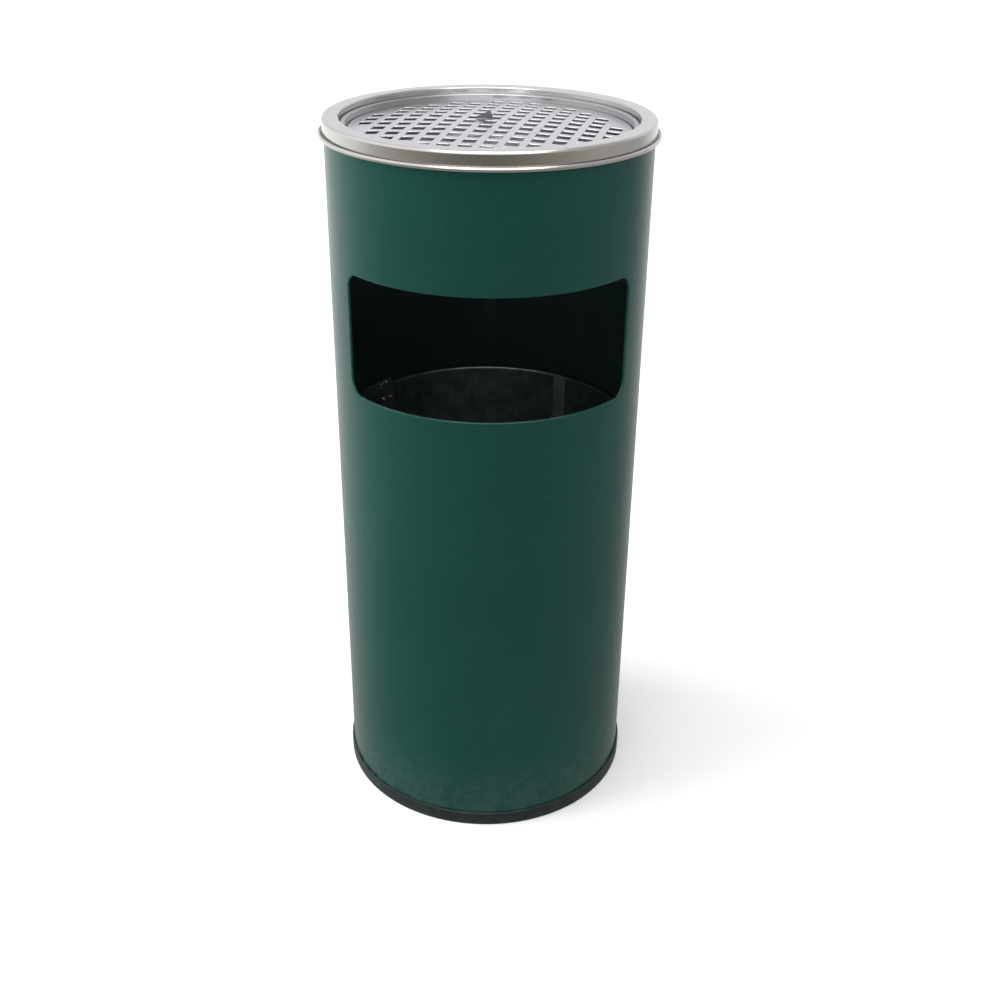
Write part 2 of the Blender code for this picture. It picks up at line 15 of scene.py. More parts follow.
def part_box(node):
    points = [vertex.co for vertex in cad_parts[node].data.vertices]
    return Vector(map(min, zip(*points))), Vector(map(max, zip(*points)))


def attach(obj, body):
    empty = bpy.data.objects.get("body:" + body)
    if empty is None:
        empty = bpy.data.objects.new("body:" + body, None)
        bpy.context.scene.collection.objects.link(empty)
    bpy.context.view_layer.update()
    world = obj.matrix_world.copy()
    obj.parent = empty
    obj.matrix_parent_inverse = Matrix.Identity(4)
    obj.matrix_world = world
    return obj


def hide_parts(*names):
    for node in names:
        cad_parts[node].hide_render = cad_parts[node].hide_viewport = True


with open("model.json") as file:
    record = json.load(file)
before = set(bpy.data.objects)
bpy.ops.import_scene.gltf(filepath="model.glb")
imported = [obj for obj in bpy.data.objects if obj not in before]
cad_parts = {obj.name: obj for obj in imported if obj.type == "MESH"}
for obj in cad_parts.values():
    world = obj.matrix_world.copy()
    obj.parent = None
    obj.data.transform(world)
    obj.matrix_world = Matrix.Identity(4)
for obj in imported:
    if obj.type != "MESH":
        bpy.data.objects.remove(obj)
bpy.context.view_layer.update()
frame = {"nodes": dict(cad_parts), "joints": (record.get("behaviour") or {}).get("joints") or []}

# Camera
CAMERA_PLACE = (0.0, -0.9749, 0.7717)
CAMERA_TILT = math.radians(27.9)
CAMERA_PAN = math.radians(0.66)
CAMERA_ROLL = math.radians(-0.74)
CAMERA_LENS = 45.54

# Fineness of the round pieces
ROUND_STEPS = 192
BEND_STEPS = 6
OPENING_STEPS = (72, 6)  # along the opening's long and short sides
CORNER_STEPS = 10
HOLD = 0.0003           # distance of the loops that keep a bend's shading off the flat beside it

# Sheet thicknesses and small bends
SHELL_SHEET = 0.0007
RING_SHEET = 0.0007
PAN_SHEET = 0.0006
LINER_SHEET = 0.0006
PLATE_SHEET = 0.0008
GRATE_SHEET = 0.0009
OPENING_BEND = 0.0011   # outside radius of the opening's turned-in edge
EDGE_LIMIT = 0.0016     # deeper in the shell than this is only the opening's edge
OPENING_CORNER = 0.012
SEAM_GROOVE = 0.0003
SEAM_OFFSET = 0.0066    # from the line straight behind to the groove, round the shell
LAP_HALF = 0.007
BACK_FROM = 2.5         # azimuth in radians past which only the back lies

# Ashtray ring and pan, measured from the crown's top and from the lip's outermost point
LEDGE_DROP = 0.007
LIP_DROP = 0.0120
LIP_RADIUS = 0.0019
BAND_INSET = 0.0038
RING_WALL_INSET = 0.0159
PAN_STEP_DROP = 0.0113

# Grate pattern
GRATE_PITCH = 0.0156
GRATE_HOLE = 0.010
GRATE_HOLE_CORNER = 0.0009
GRATE_TURN = math.radians(-13.4)
GRATE_DOME = 0.004
GRATE_MARGIN = 0.0025   # width of the curled rim round the punched field
RIM_STEPS = 160
TAB_SHEET = 0.0009

# Liner fittings
BAIL_AZIMUTH = math.radians(-128)
LINER_SEAM_AZIMUTH = math.radians(146)
RIM_ROLL = 0.0022       # outside radius of the curled rim
EAR_SHEET = 0.0012
RIVET_DROP = 0.013      # below the rim's top
RIVET_SPREAD = 0.0045


# Places read from the frame

def node_points(name):
    """The (radius, azimuth, height) of every vertex of a CAD node."""
    return [(math.hypot(v.co.x, v.co.y), math.atan2(v.co.x, -v.co.y), v.co.z)
            for v in frame["nodes"][name].data.vertices]


def reach(points, which):
    """The lowest and highest of one of the points' numbers."""
    values = [point[which] for point in points]
    return min(values), max(values)


shell_points = node_points("outer_shell")
SHELL_BOTTOM, SHELL_TOP = reach(shell_points, 2)
SHELL_RADIUS = reach(shell_points, 0)[1]
edge_points = [point for point in shell_points if point[0] < SHELL_RADIUS - EDGE_LIMIT]
EDGE_RADIUS = reach(edge_points, 0)[0]
OPENING_LOW = reach(edge_points, 2)[0] + SHELL_SHEET
OPENING_HIGH = reach(edge_points, 2)[1] - SHELL_SHEET
OPENING_HALF = reach(edge_points, 1)[1] * SHELL_RADIUS - SHELL_SHEET
lap_points = [point for point in shell_points
              if SHELL_RADIUS - EDGE_LIMIT < point[0] < SHELL_RADIUS - 1.5 * SHELL_SHEET
              and abs(point[1]) > BACK_FROM]
LAP_LOW, LAP_HIGH = reach(lap_points, 2)

foot_points = node_points("base_ring")
FOOT_INNER, FOOT_OUTER = reach(foot_points, 0)
FOOT_TOP = reach(foot_points, 2)[1]
plate_points = node_points("bottom_plate")
PLATE_TOP = reach(plate_points, 2)[1]
PLATE_OUTER = reach(plate_points, 0)[1]

ring_points = node_points("ashtray_ring")
LEDGE_INNER, LIP_OUTER = reach(ring_points, 0)
CROWN_TOP = reach(ring_points, 2)[1]
pan_points = node_points("ash_pan")
PAN_BOTTOM, PAN_TOP = reach(pan_points, 2)
PAN_BEAD_OUTER = reach(pan_points, 0)[1]
grate_points = node_points("grate")
GRATE_BOTTOM = reach(grate_points, 2)[0]
GRATE_RADIUS = reach(grate_points, 0)[1]

liner_points = node_points("liner_wall")
LINER_WIDEST = reach(liner_points, 0)[1]
LINER_FOOT, LINER_RIM_TOP = reach(liner_points, 2)
floor_points = node_points("liner_bottom")
LINER_FLOOR = reach(floor_points, 2)[1]
LINER_FLOOR_OUTER = reach(floor_points, 0)[1]
PIN_HEIGHT = next(joint for joint in frame["joints"] if joint["name"] == "bail_swing")["pos_m"][2]


# Geometry helpers

def polar(radius, azimuth, height):
    return Vector((radius * math.sin(azimuth), -radius * math.cos(azimuth), height))


def arc(centre_radius, centre_height, radius, start, end, steps):
    """Points of an arc in the (radius, height) plane, with angles in degrees from +radius."""
    points = []
    for i in range(steps + 1):
        angle = math.radians(start + (end - start) * i / steps)
        points.append((centre_radius + radius * math.cos(angle),
                       centre_height + radius * math.sin(angle)))
    return points


def rounded(corners, closed=False, steps=BEND_STEPS):
    """A path through (across, up, bend radius) corners. Every bend is an arc, held by near loops."""
    points = []
    count = len(corners)
    for i, corner in enumerate(corners):
        here = Vector(corner[:2])
        if not closed and i in (0, count - 1):
            points.append(here)
            continue
        before = Vector(corners[i - 1][:2]) - here
        after = Vector(corners[(i + 1) % count][:2]) - here
        half_angle = before.angle(after) / 2
        tangent = corner[2] / math.tan(half_angle)
        tangent = min(tangent, before.length * 0.48, after.length * 0.48)
        radius = tangent * math.tan(half_angle)
        inwards = (before.normalized() + after.normalized()).normalized()
        centre = here + inwards * (radius / math.sin(half_angle))
        start = here + before.normalized() * tangent
        end = here + after.normalized() * tangent
        if before.length > 2.2 * (tangent + HOLD):
            points.append(start + before.normalized() * HOLD)
        first, last = start - centre, end - centre
        sweep = first.angle_signed(last)
        for k in range(steps + 1):
            turn = -sweep * k / steps
            points.append(centre + Matrix.Rotation(turn, 2) @ first)
        if after.length > 2.2 * (tangent + HOLD):
            points.append(end + after.normalized() * HOLD)
    return [tuple(point) for point in points]


def sheet_outline(path, thickness):
    """The closed outline of a sheet that follows a path, with its two ends rounded."""
    path = [Vector(point) for point in path]
    path = [point for i, point in enumerate(path) if i == 0 or (point - path[i - 1]).length > 1e-6]
    normals = []
    for i, point in enumerate(path):
        along = Vector((0, 0))
        if i > 0:
            along += (point - path[i - 1]).normalized()
        if i < len(path) - 1:
            along += (path[i + 1] - point).normalized()
        along.normalize()
        normals.append(Vector((-along.y, along.x)))
    half = thickness / 2
    left = [point + normal * half for point, normal in zip(path, normals)]
    right = [point - normal * half for point, normal in zip(path, normals)]
    caps = []
    for point, normal in ((path[-1], normals[-1]), (path[0], -normals[0])):
        on_axis = abs(point.x) < 1e-7
        along = Vector((normal.y, -normal.x))
        caps.append([] if on_axis else [
            point + (normal * math.cos(angle) + along * math.sin(angle)) * half
            for angle in (math.radians(45), math.radians(90), math.radians(135))])
    outline = left + caps[0] + right[::-1] + caps[1]
    return [(0.0 if abs(point.x) < 1e-7 else point.x, point.y) for point in outline]


def bridge(builder, row, following, closed=True):
    """Adds the faces between two rows. A vertex that repeats makes a triangle."""
    count = len(row)
    for i in range(count if closed else count - 1):
        j = (i + 1) % count
        builder.faces.new(dict.fromkeys((row[i], row[j], following[j], following[i])))


def turned(builder, outline, steps=ROUND_STEPS):
    """Adds a closed (radius, height) outline turned about Z. Points at radius 0 close on the axis."""
    rings = []
    for radius, height in outline:
        if radius == 0:
            rings.append([builder.verts.new((0, 0, height))] * steps)
        else:
            rings.append([builder.verts.new(polar(radius, math.tau * i / steps, height))
                          for i in range(steps)])
    for ring, following in zip(rings, rings[1:] + rings[:1]):
        if ring[0] is ring[1] and following[0] is following[1]:
            continue
        bridge(builder, ring, following)


def strip(builder, inner, outer, azimuth, half_width, low, high, bend=0.0003):
    """Adds an upright lap strip whose edges are rounded towards the axis."""
    section = rounded([(-half_width, outer, 0), (-half_width, inner, bend),
                       (half_width, inner, bend), (half_width, outer, 0)], steps=3)
    on_face = [i for i, point in enumerate(section) if abs(point[1] - inner) < 1e-7]
    start, end = on_face[0], on_face[-1]
    left, right = section[start][0], section[end][0]
    flat = 8
    across = [(left + (right - left) * k / flat, inner) for k in range(1, flat)]
    section = section[:start + 1] + across + section[end:]
    frames = []
    for height, shrink in ((low, bend), (low + bend / 3, bend / 3), (low + bend, 0),
                           (high - bend, 0), (high - bend / 3, bend / 3), (high, bend)):
        row = []
        for place, radius in section:
            radius = min(outer, radius + shrink)
            row.append(builder.verts.new(polar(radius, azimuth + place / outer, height)))
        frames.append(row)
    for row, following in zip(frames, frames[1:]):
        bridge(builder, row, following)
    builder.faces.new(frames[0])
    builder.faces.new(frames[-1])


def radial_frame(azimuth, height, sideways=0.0):
    """A frame whose Z axis points outwards along a radius and whose Y axis points up."""
    outwards = polar(1, azimuth, 0)
    up = Vector((0, 0, 1))
    side = up.cross(outwards)
    rotation = Matrix((side, up, outwards)).transposed().to_4x4()
    return Matrix.Translation(side * sideways + up * height) @ rotation


def add_object(name, data):
    made = bpy.data.objects.new(name, data)
    bpy.context.scene.collection.objects.link(made)
    return made


def piece(name, mesh, material, body, slot, *nodes):
    """Puts a finished mesh in the scene on its body, in place of its CAD nodes."""
    made = add_object(name, mesh)
    mesh.materials.clear()
    mesh.materials.append(material)
    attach(made, body)
    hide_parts(*nodes)
    return made


def smooth_mesh(name, builder):
    bmesh.ops.recalc_face_normals(builder, faces=builder.faces)
    mesh = bpy.data.meshes.new(name)
    builder.to_mesh(mesh)
    builder.free()
    mesh.shade_smooth()
    return mesh


def turned_mesh(name, *outlines, steps=ROUND_STEPS):
    builder = bmesh.new()
    for outline in outlines:
        turned(builder, outline, steps)
    return smooth_mesh(name, builder)


def add_spline(curve, places, cyclic):
    """Adds a line of straight runs through places, each one an (x, y, z)."""
    spline = curve.splines.new("POLY")
    spline.points.add(len(places) - 1)
    for target, place in zip(spline.points, places):
        target.co = (*place, 1)
    spline.use_cyclic_u = cyclic
    return spline


def mesh_of(curve, sharp_angle):
    """The mesh that a curve draws, smooth up to an angle in degrees. The curve is removed."""
    drawn = add_object(curve.name, curve)
    bpy.context.view_layer.update()
    mesh = bpy.data.meshes.new_from_object(drawn.evaluated_get(bpy.context.evaluated_depsgraph_get()))
    bpy.data.objects.remove(drawn)
    bpy.data.curves.remove(curve)
    mesh.shade_smooth()
    mesh.set_sharp_from_angle(angle=math.radians(sharp_angle))
    return mesh


# Shell, with its opening

class SheetBuilder:
    """A mesh whose vertices carry the normals that the smooth sheet has there."""

    def __init__(self):
        self.places, self.normals, self.faces = [], [], []

    def add(self, place, normal):
        self.places.append(place)
        self.normals.append(normal.normalized())
        return len(self.places) - 1

    def join(self, row, following, closed=False):
        """Faces between two rows of vertices, turned the way that their normals point."""
        count = len(row)
        for i in range(count if closed else count - 1):
            j = (i + 1) % count
            corners = [row[i], row[j], following[j], following[i]]
            a, b, c = (self.places[k] for k in corners[:3])
            facing = sum((self.normals[k] for k in corners), Vector())
            if (b - a).cross(c - b).dot(facing) < 0:
                corners.reverse()
            self.faces.append(corners)

    def mesh(self, name):
        mesh = bpy.data.meshes.new(name)
        mesh.from_pydata(self.places, [], self.faces)
        mesh.shade_smooth()
        mesh.normals_split_custom_set_from_vertices(self.normals)
        mesh.update()
        return mesh


def opening_outline(grow):
    """The opening's rounded outline grown by an amount, as ((across, height), outward direction)."""
    spread = OPENING_CORNER + grow
    flat = OPENING_HALF - OPENING_CORNER
    low, high = OPENING_LOW + OPENING_CORNER, OPENING_HIGH - OPENING_CORNER
    centres = ((-flat, low), (flat, low), (flat, high), (-flat, high))
    points = []
    for side, out in enumerate(((0, -1), (1, 0), (0, 1), (-1, 0))):
        start, end = centres[side], centres[(side + 1) % 4]
        steps = OPENING_STEPS[side % 2]
        for i in range(steps):
            spot = tuple(a + (b - a) * i / steps + way * spread for a, b, way in zip(start, end, out))
            points.append((spot, out))
        for i in range(CORNER_STEPS):
            angle = math.radians(90 * (side - 1) + 90 * i / CORNER_STEPS)
            turn = (math.cos(angle), math.sin(angle))
            points.append(((end[0] + turn[0] * spread, end[1] + turn[1] * spread), turn))
    return points


def shell_mesh():
    """The rolled sheet: outer and inner faces, the opening's turned-in edge, the seam groove, the lap."""
    sheet = SheetBuilder()
    wall, bend, depth = SHELL_SHEET, OPENING_BEND, SHELL_RADIUS - EDGE_RADIUS

    def place(across, height, sunk, out=(0, 0), tilt=0.0):
        """A vertex sunk under the outer face. tilt is its normal's angle from straight out."""
        azimuth = across / SHELL_RADIUS
        outwards, sideways = polar(1, azimuth, 0), polar(1, azimuth + math.pi / 2, 0)
        towards_opening = -(sideways * out[0] + Vector((0, 0, 1)) * out[1])
        return sheet.add(polar(SHELL_RADIUS - sunk, azimuth, height),
                         outwards * math.cos(tilt) + towards_opening * math.sin(tilt))

    # The edge's section, as (growth, depth, tilt of the normal)
    section = [(bend * (1 - math.sin(a)), bend * (1 - math.cos(a)), a)
               for a in (math.radians(15 * k) for k in range(7))]
    half = wall / 2
    section += [(half * (1 - math.cos(a)), depth - half + half * math.sin(a), math.pi / 2 + a)
                for a in (math.radians(45 * k) for k in range(5))]
    inner_bend = bend - wall
    section += [(wall + inner_bend * (1 - math.sin(a)), bend - inner_bend * math.cos(a), math.pi + a)
                for a in (math.radians(90 - 15 * k) for k in range(7))]
    loops = []
    for grow, sunk, tilt in section:
        loops.append([place(*spot, sunk, out, tilt) for spot, out in opening_outline(grow)])
    for loop, following in zip(loops, loops[1:]):
        sheet.join(loop, following, closed=True)

    # Columns above and below the opening, then round the back
    outline = opening_outline(bend)
    count = len(outline)
    across, upright = OPENING_STEPS
    right_low = across + CORNER_STEPS
    right_high = right_low + upright
    left_high = right_high + 2 * CORNER_STEPS + across
    left_low = left_high + upright
    lower = [(left_low + k) % count for k in range((right_low - left_low) % count + 1)]
    upper = [(left_high - k) % count for k in range(left_high - right_high + 1)]
    right = list(range(right_low, right_high + 1))
    left = list(range(left_low, left_high - 1, -1))
    start = outline[right_low][0][0]
    end = math.tau * SHELL_RADIUS + outline[left_low][0][0]
    groove = math.pi * SHELL_RADIUS + SEAM_OFFSET
    groove_steps = (-0.0007, -0.0003, 0, 0.0003, 0.0007)
    steps_round = 176
    columns = [start + (end - start) * k / steps_round for k in range(1, steps_round)]
    columns = [column for column in columns if abs(column - groove) > 2 * groove_steps[-1]]
    columns += [groove + step for step in groove_steps]
    columns.sort()
    heights = [outline[k][0][1] for k in right]
    side_low, side_high = SHELL_BOTTOM + half, SHELL_TOP - half

    for loop, sunk, tilt in ((loops[0], 0.0, 0.0), (loops[-1], wall, math.pi)):
        foot = [place(outline[k][0][0], side_low, sunk, tilt=tilt) for k in lower]
        head = [place(outline[k][0][0], side_high, sunk, tilt=tilt) for k in upper]
        sheet.join(foot, [loop[k] for k in lower])
        sheet.join(head, [loop[k] for k in upper])
        previous = [foot[-1]] + [loop[k] for k in right] + [head[-1]]
        for column in columns:
            dip = SEAM_GROOVE if abs(column - groove) < 1e-6 and sunk == 0 else 0.0
            row = [place(column, height, sunk + dip, tilt=tilt)
                   for height in (side_low, *heights, side_high)]
            sheet.join(previous, row)
            previous = row
        sheet.join(previous, [foot[0]] + [loop[k] for k in left] + [head[0]])

    # Rounded top and bottom edges
    turns = [outline[k][0][0] for k in lower] + columns
    for edge, way in ((side_low, -1), (side_high, 1)):
        rows = []
        for angle in (0, 45, 90, 135, 180):
            rise, fall = math.sin(math.radians(angle)), math.cos(math.radians(angle))
            row = []
            for column in turns:
                outwards = polar(1, column / SHELL_RADIUS, 0)
                row.append(sheet.add(polar(SHELL_RADIUS - half + half * fall, column / SHELL_RADIUS,
                                           edge + way * half * rise),
                                     outwards * fall + Vector((0, 0, way * rise))))
            rows.append(row)
        for row, following in zip(rows, rows[1:]):
            sheet.join(row, following, closed=True)

    # The lap inside the back
    builder = bmesh.new()
    inside = SHELL_RADIUS - wall
    strip(builder, inside - wall, inside + wall * 0.1, math.pi, LAP_HALF, LAP_LOW, LAP_HIGH)
    bmesh.ops.recalc_face_normals(builder, faces=builder.faces)
    builder.normal_update()
    builder.verts.index_update()
    first = len(sheet.places)
    for vertex in builder.verts:
        sheet.add(vertex.co.copy(), vertex.normal.copy())
    sheet.faces += [[first + vertex.index for vertex in face.verts] for face in builder.faces]
    builder.free()
    return sheet.mesh("shell_sheet")


# Foot and bottom plate

def foot_mesh():
    """The moulded ring that takes the shell's edge, with softened corners."""
    gap = 0.0003
    channel_outer = SHELL_RADIUS + gap
    channel_inner = FOOT_INNER + 0.0015
    inner_top = FOOT_TOP - 0.0035
    channel_floor = SHELL_BOTTOM - gap
    outline = rounded([
        (FOOT_INNER, 0, 0.0006), (FOOT_OUTER, 0, 0.0011), (FOOT_OUTER, FOOT_TOP, 0.0011),
        (channel_outer, FOOT_TOP, 0.0002), (channel_outer, channel_floor, 0.0002),
        (channel_inner, channel_floor, 0.0002), (channel_inner, inner_top, 0.0003),
        (FOOT_INNER, inner_top, 0.0005)], closed=True, steps=4)
    return turned_mesh("foot_ring", outline)


def plate_mesh():
    """The bottom plate, flanged down inside the shell, with a pressed ring that stiffens it."""
    edge, middle = PLATE_OUTER - PLATE_SHEET / 2, PLATE_TOP - PLATE_SHEET / 2
    pressed = middle - 0.0007
    path = rounded([(edge, SHELL_BOTTOM + PLATE_SHEET / 2, 0), (edge, middle, 0.0013),
                    (0.098, middle, 0.0015), (0.0955, pressed, 0.0015), (0.0905, pressed, 0.0015),
                    (0.088, middle, 0.0015), (0, middle, 0)])
    return turned_mesh("bottom_plate_pressing", sheet_outline(path, PLATE_SHEET))


# Ashtray top

def ring_mesh():
    """Ledge, inner wall, crown, band and rolled lip in one pressed sheet."""
    half = RING_SHEET / 2
    ledge = CROWN_TOP - LEDGE_DROP - half
    wall = LIP_OUTER - RING_WALL_INSET + half
    band = LIP_OUTER - BAND_INSET + half
    lip_radius, lip_height = LIP_OUTER - LIP_RADIUS, CROWN_TOP - LIP_DROP
    crown = CROWN_TOP - half
    path = rounded([(LEDGE_INNER + half, ledge, 0), (wall, ledge, 0.0009), (wall, crown, 0.0011),
                    (band, crown, 0.0021), (band, lip_height, 0)], steps=8)
    path += arc(lip_radius, lip_height, LIP_RADIUS - half, 180, 420, 24)[1:]
    return turned_mesh("crown_band_and_lip", sheet_outline(path, RING_SHEET))


def pan_mesh():
    """The dish: a curled bead, a step for the grate, the deep bowl and a pressed ring in its floor."""
    half = PAN_SHEET / 2
    curl_outer = PAN_BEAD_OUTER - half
    neck = PAN_BEAD_OUTER - 0.0033 - half
    top = PAN_TOP - half
    bottom_of_curl = PAN_TOP - 0.0018 + half
    step = CROWN_TOP - PAN_STEP_DROP - half
    bowl = neck - 0.0048
    floor = PAN_BOTTOM + half
    path = rounded([(neck + 0.0009, bottom_of_curl, 0), (curl_outer, bottom_of_curl, 0.0006),
                    (curl_outer, top, 0.0006), (neck, top, 0.0008), (neck, step, 0.0007),
                    (bowl, step, 0.0008), (bowl, floor, 0.0057), (0.062, floor, 0.0016),
                    (0.0595, floor + 0.0009, 0.0016), (0.0535, floor + 0.0009, 0.0016),
                    (0.051, floor, 0.0016), (0, floor, 0)], steps=7)
    return turned_mesh("ash_dish", sheet_outline(path, PAN_SHEET))


def dome_height(radius):
    """Top of the grate's sheet, which is domed, at a distance from the axis."""
    edge = GRATE_BOTTOM + 0.0012
    return edge + GRATE_DOME * (1 - min(1.0, radius / (GRATE_RADIUS - GRATE_MARGIN)) ** 2)


def hole_outline(grow, steps=24):
    """Points round a square hole with rounded corners, starting on a diagonal."""
    half = GRATE_HOLE / 2
    corner = GRATE_HOLE_CORNER
    points = []
    per_side = steps // 4
    for side in range(4):
        turn = Matrix.Rotation(math.pi / 2 * side, 2)
        straight, edge, bend = half - corner, half + grow, corner + grow
        local = [(edge - bend * (1 - math.cos(math.pi / 4)), -straight - bend * math.sin(math.pi / 4)),
                 (edge, -straight)]
        local += [(edge, -straight + 2 * straight * k / (per_side - 2)) for k in range(1, per_side - 2)]
        local += [(edge, straight)]
        points += [turn @ Vector(point) for point in local]
    return points


def cell_outline(steps=24):
    """Points round one square of the pattern, which meet those of its neighbours."""
    half = GRATE_PITCH / 2
    per_side = steps // 4
    points = []
    for side in range(4):
        turn = Matrix.Rotation(math.pi / 2 * side, 2)
        points += [turn @ Vector((half, -half + GRATE_PITCH * k / per_side)) for k in range(per_side)]
    return points


def grate_mesh():
    """The domed sheet with punched holes whose edges are rolled down, and its curled rim."""
    builder = bmesh.new()
    sheet = GRATE_SHEET
    field = GRATE_RADIUS - GRATE_MARGIN
    count = math.ceil(field / GRATE_PITCH) + 1
    holes = []
    for column in range(-count, count + 1):
        for row in range(-count, count + 1):
            far = [max(abs(place * GRATE_PITCH + side * GRATE_HOLE / 2) for side in (-1, 1))
                   for place in (column, row)]
            if math.hypot(*far) < field - (GRATE_PITCH - GRATE_HOLE) / 4:
                holes.append((column * GRATE_PITCH, row * GRATE_PITCH))

    # Each hole's section, as (growth, drop), from the flat sheet down through the hole and out underneath
    section = [(0.0009, 0.0), (0.0005, 0.0), (0.00028, 0.00004), (0.0001, 0.00015), (0.00001, 0.00034),
               (0.0, sheet), (0.0001, sheet + 0.0002), (0.0003, sheet + 0.00018), (0.0006, sheet),
               (0.0012, sheet)]
    boundary = cell_outline()
    for x, y in holes:
        loops = [[builder.verts.new((x + p.x, y + p.y, 0)) for p in boundary]]
        for grow, drop in section:
            loops.append([builder.verts.new((x + p.x, y + p.y, -drop)) for p in hole_outline(grow)])
        loops.append([builder.verts.new((x + p.x, y + p.y, -sheet)) for p in boundary])
        for loop, following in zip(loops, loops[1:]):
            bridge(builder, loop, following)
    bmesh.ops.remove_doubles(builder, verts=builder.verts, dist=1e-6)

    # The plain margin between the outermost holes and the rim, above and below
    for level in (0, -sheet):
        ragged = [edge for edge in builder.edges
                  if len(edge.link_faces) == 1 and all(abs(v.co.z - level) < 1e-7 for v in edge.verts)]
        circle = [builder.verts.new(polar(field, math.tau * i / RIM_STEPS, level))
                  for i in range(RIM_STEPS)]
        ragged += [builder.edges.new((circle[i], circle[(i + 1) % RIM_STEPS])) for i in range(RIM_STEPS)]
        bmesh.ops.triangle_fill(builder, edges=ragged, use_beauty=True, normal=(0, 0, 1))

    # The dome, with the slight unevenness of thin pressed sheet
    for vertex in builder.verts:
        radius = math.hypot(vertex.co.x, vertex.co.y)
        fade = max(0.0, 1 - (radius / field) ** 4)
        spot = Vector((vertex.co.x, vertex.co.y, 0))
        uneven = noise.noise(spot * 28 + Vector((3.1, 1.7, 0))) * 0.00035
        uneven += noise.noise(spot * 75 + Vector((0.4, 8.2, 0))) * 0.00012
        vertex.co.z += dome_height(radius) + uneven * fade
    builder.transform(Matrix.Rotation(GRATE_TURN, 4, "Z"))

    # The curled rim
    top = dome_height(field)
    half = sheet / 2
    outer, middle = GRATE_RADIUS - half, top - half
    rim = rounded([(field - 0.0002, middle, 0), (field + 0.0007, middle + 0.0001, 0.0006),
                   (outer, middle, 0.0006), (outer, GRATE_BOTTOM + half, 0)], steps=5)
    turned(builder, sheet_outline(rim, sheet * 0.96), steps=RIM_STEPS)
    return smooth_mesh("punched_grate", builder)


def tab_mesh():
    """The middle surface of the bent lift tab: a foot, a bend, and a triangle with a blunt tip."""
    back = Matrix.Rotation(-GRATE_TURN, 4, "Z")
    corners = [back @ v.co for v in frame["nodes"]["lift_tab"].data.vertices]
    (left, right), (front, rear), (low, high) = (reach(corners, axis) for axis in range(3))
    tip_left, tip_right = reach([corner for corner in corners if corner.z > high - 1e-5], 0)
    half = TAB_SHEET / 2
    path = rounded([(rear, low + half, 0), (front + half, low + half, 0.0009), (front + half, high, 0)])
    rows = []
    builder = bmesh.new()
    for y, z in path:
        share = max(0.0, (z - low - TAB_SHEET) / (high - low - TAB_SHEET))
        start, end = left + (tip_left - left) * share, right + (tip_right - right) * share
        rows.append([builder.verts.new((start + (end - start) * i / 4, y, z)) for i in range(5)])
    for row, following in zip(rows, rows[1:]):
        bridge(builder, row, following, closed=False)
    builder.transform(Matrix.Rotation(GRATE_TURN, 4, "Z"))
    return smooth_mesh("lift_tab_pressing", builder)


def thicken(made, sheet, softness):
    """Gives a middle surface its sheet thickness and softened edges."""
    solid = made.modifiers.new("sheet", "SOLIDIFY")
    solid.thickness = sheet
    solid.offset = 0
    edges = made.modifiers.new("soft_edges", "BEVEL")
    edges.width = softness
    edges.segments = 3
    edges.limit_method = "ANGLE"
    edges.angle_limit = math.radians(40)


# Liner

def liner_mesh():
    """The bucket's wall with its rim curled outwards over the wire, and its soldered lap."""
    half = LINER_SHEET / 2
    curl = RIM_ROLL - half
    centre_radius, centre_height = LINER_WIDEST - RIM_ROLL, LINER_RIM_TOP - RIM_ROLL
    wall = centre_radius - curl
    path = rounded([(wall, LINER_FOOT + half, 0), (wall, LINER_FOOT + 0.012, 0.004),
                    (wall, centre_height - 0.002, 0)])
    path += arc(centre_radius, centre_height, curl, 180, -90, 22)
    builder = bmesh.new()
    turned(builder, sheet_outline(path, LINER_SHEET))
    inside = wall - half
    strip(builder, inside - LINER_SHEET, inside + 0.0001, LINER_SEAM_AZIMUTH, 0.006,
          LINER_FLOOR + 0.0003, centre_height)
    return smooth_mesh("bucket_wall", builder)


def liner_floor_mesh():
    """The bucket's floor, flanged down inside the wall, with a sunk ring that stiffens it."""
    half = LINER_SHEET / 2
    edge, middle = LINER_FLOOR_OUTER - half, LINER_FLOOR - half
    pressed = middle - 0.0012
    path = rounded([(edge, LINER_FOOT + half, 0), (edge, middle, 0.0012), (0.092, middle, 0.0015),
                    (0.0895, pressed, 0.0015), (0.084, pressed, 0.0015),
                    (0.0815, middle, 0.0015), (0, middle, 0)])
    return turned_mesh("bucket_floor", sheet_outline(path, LINER_SHEET))


def rim_wire_mesh():
    """The wire inside the curled rim."""
    low, high = reach(node_points("liner_rim_wire"), 2)
    centre_radius, centre_height = LINER_WIDEST - RIM_ROLL, LINER_RIM_TOP - RIM_ROLL
    radius = min(high - centre_height, centre_height - low)
    return turned_mesh("rim_wire", arc(centre_radius, centre_height, radius, 0, 337.5, 15))


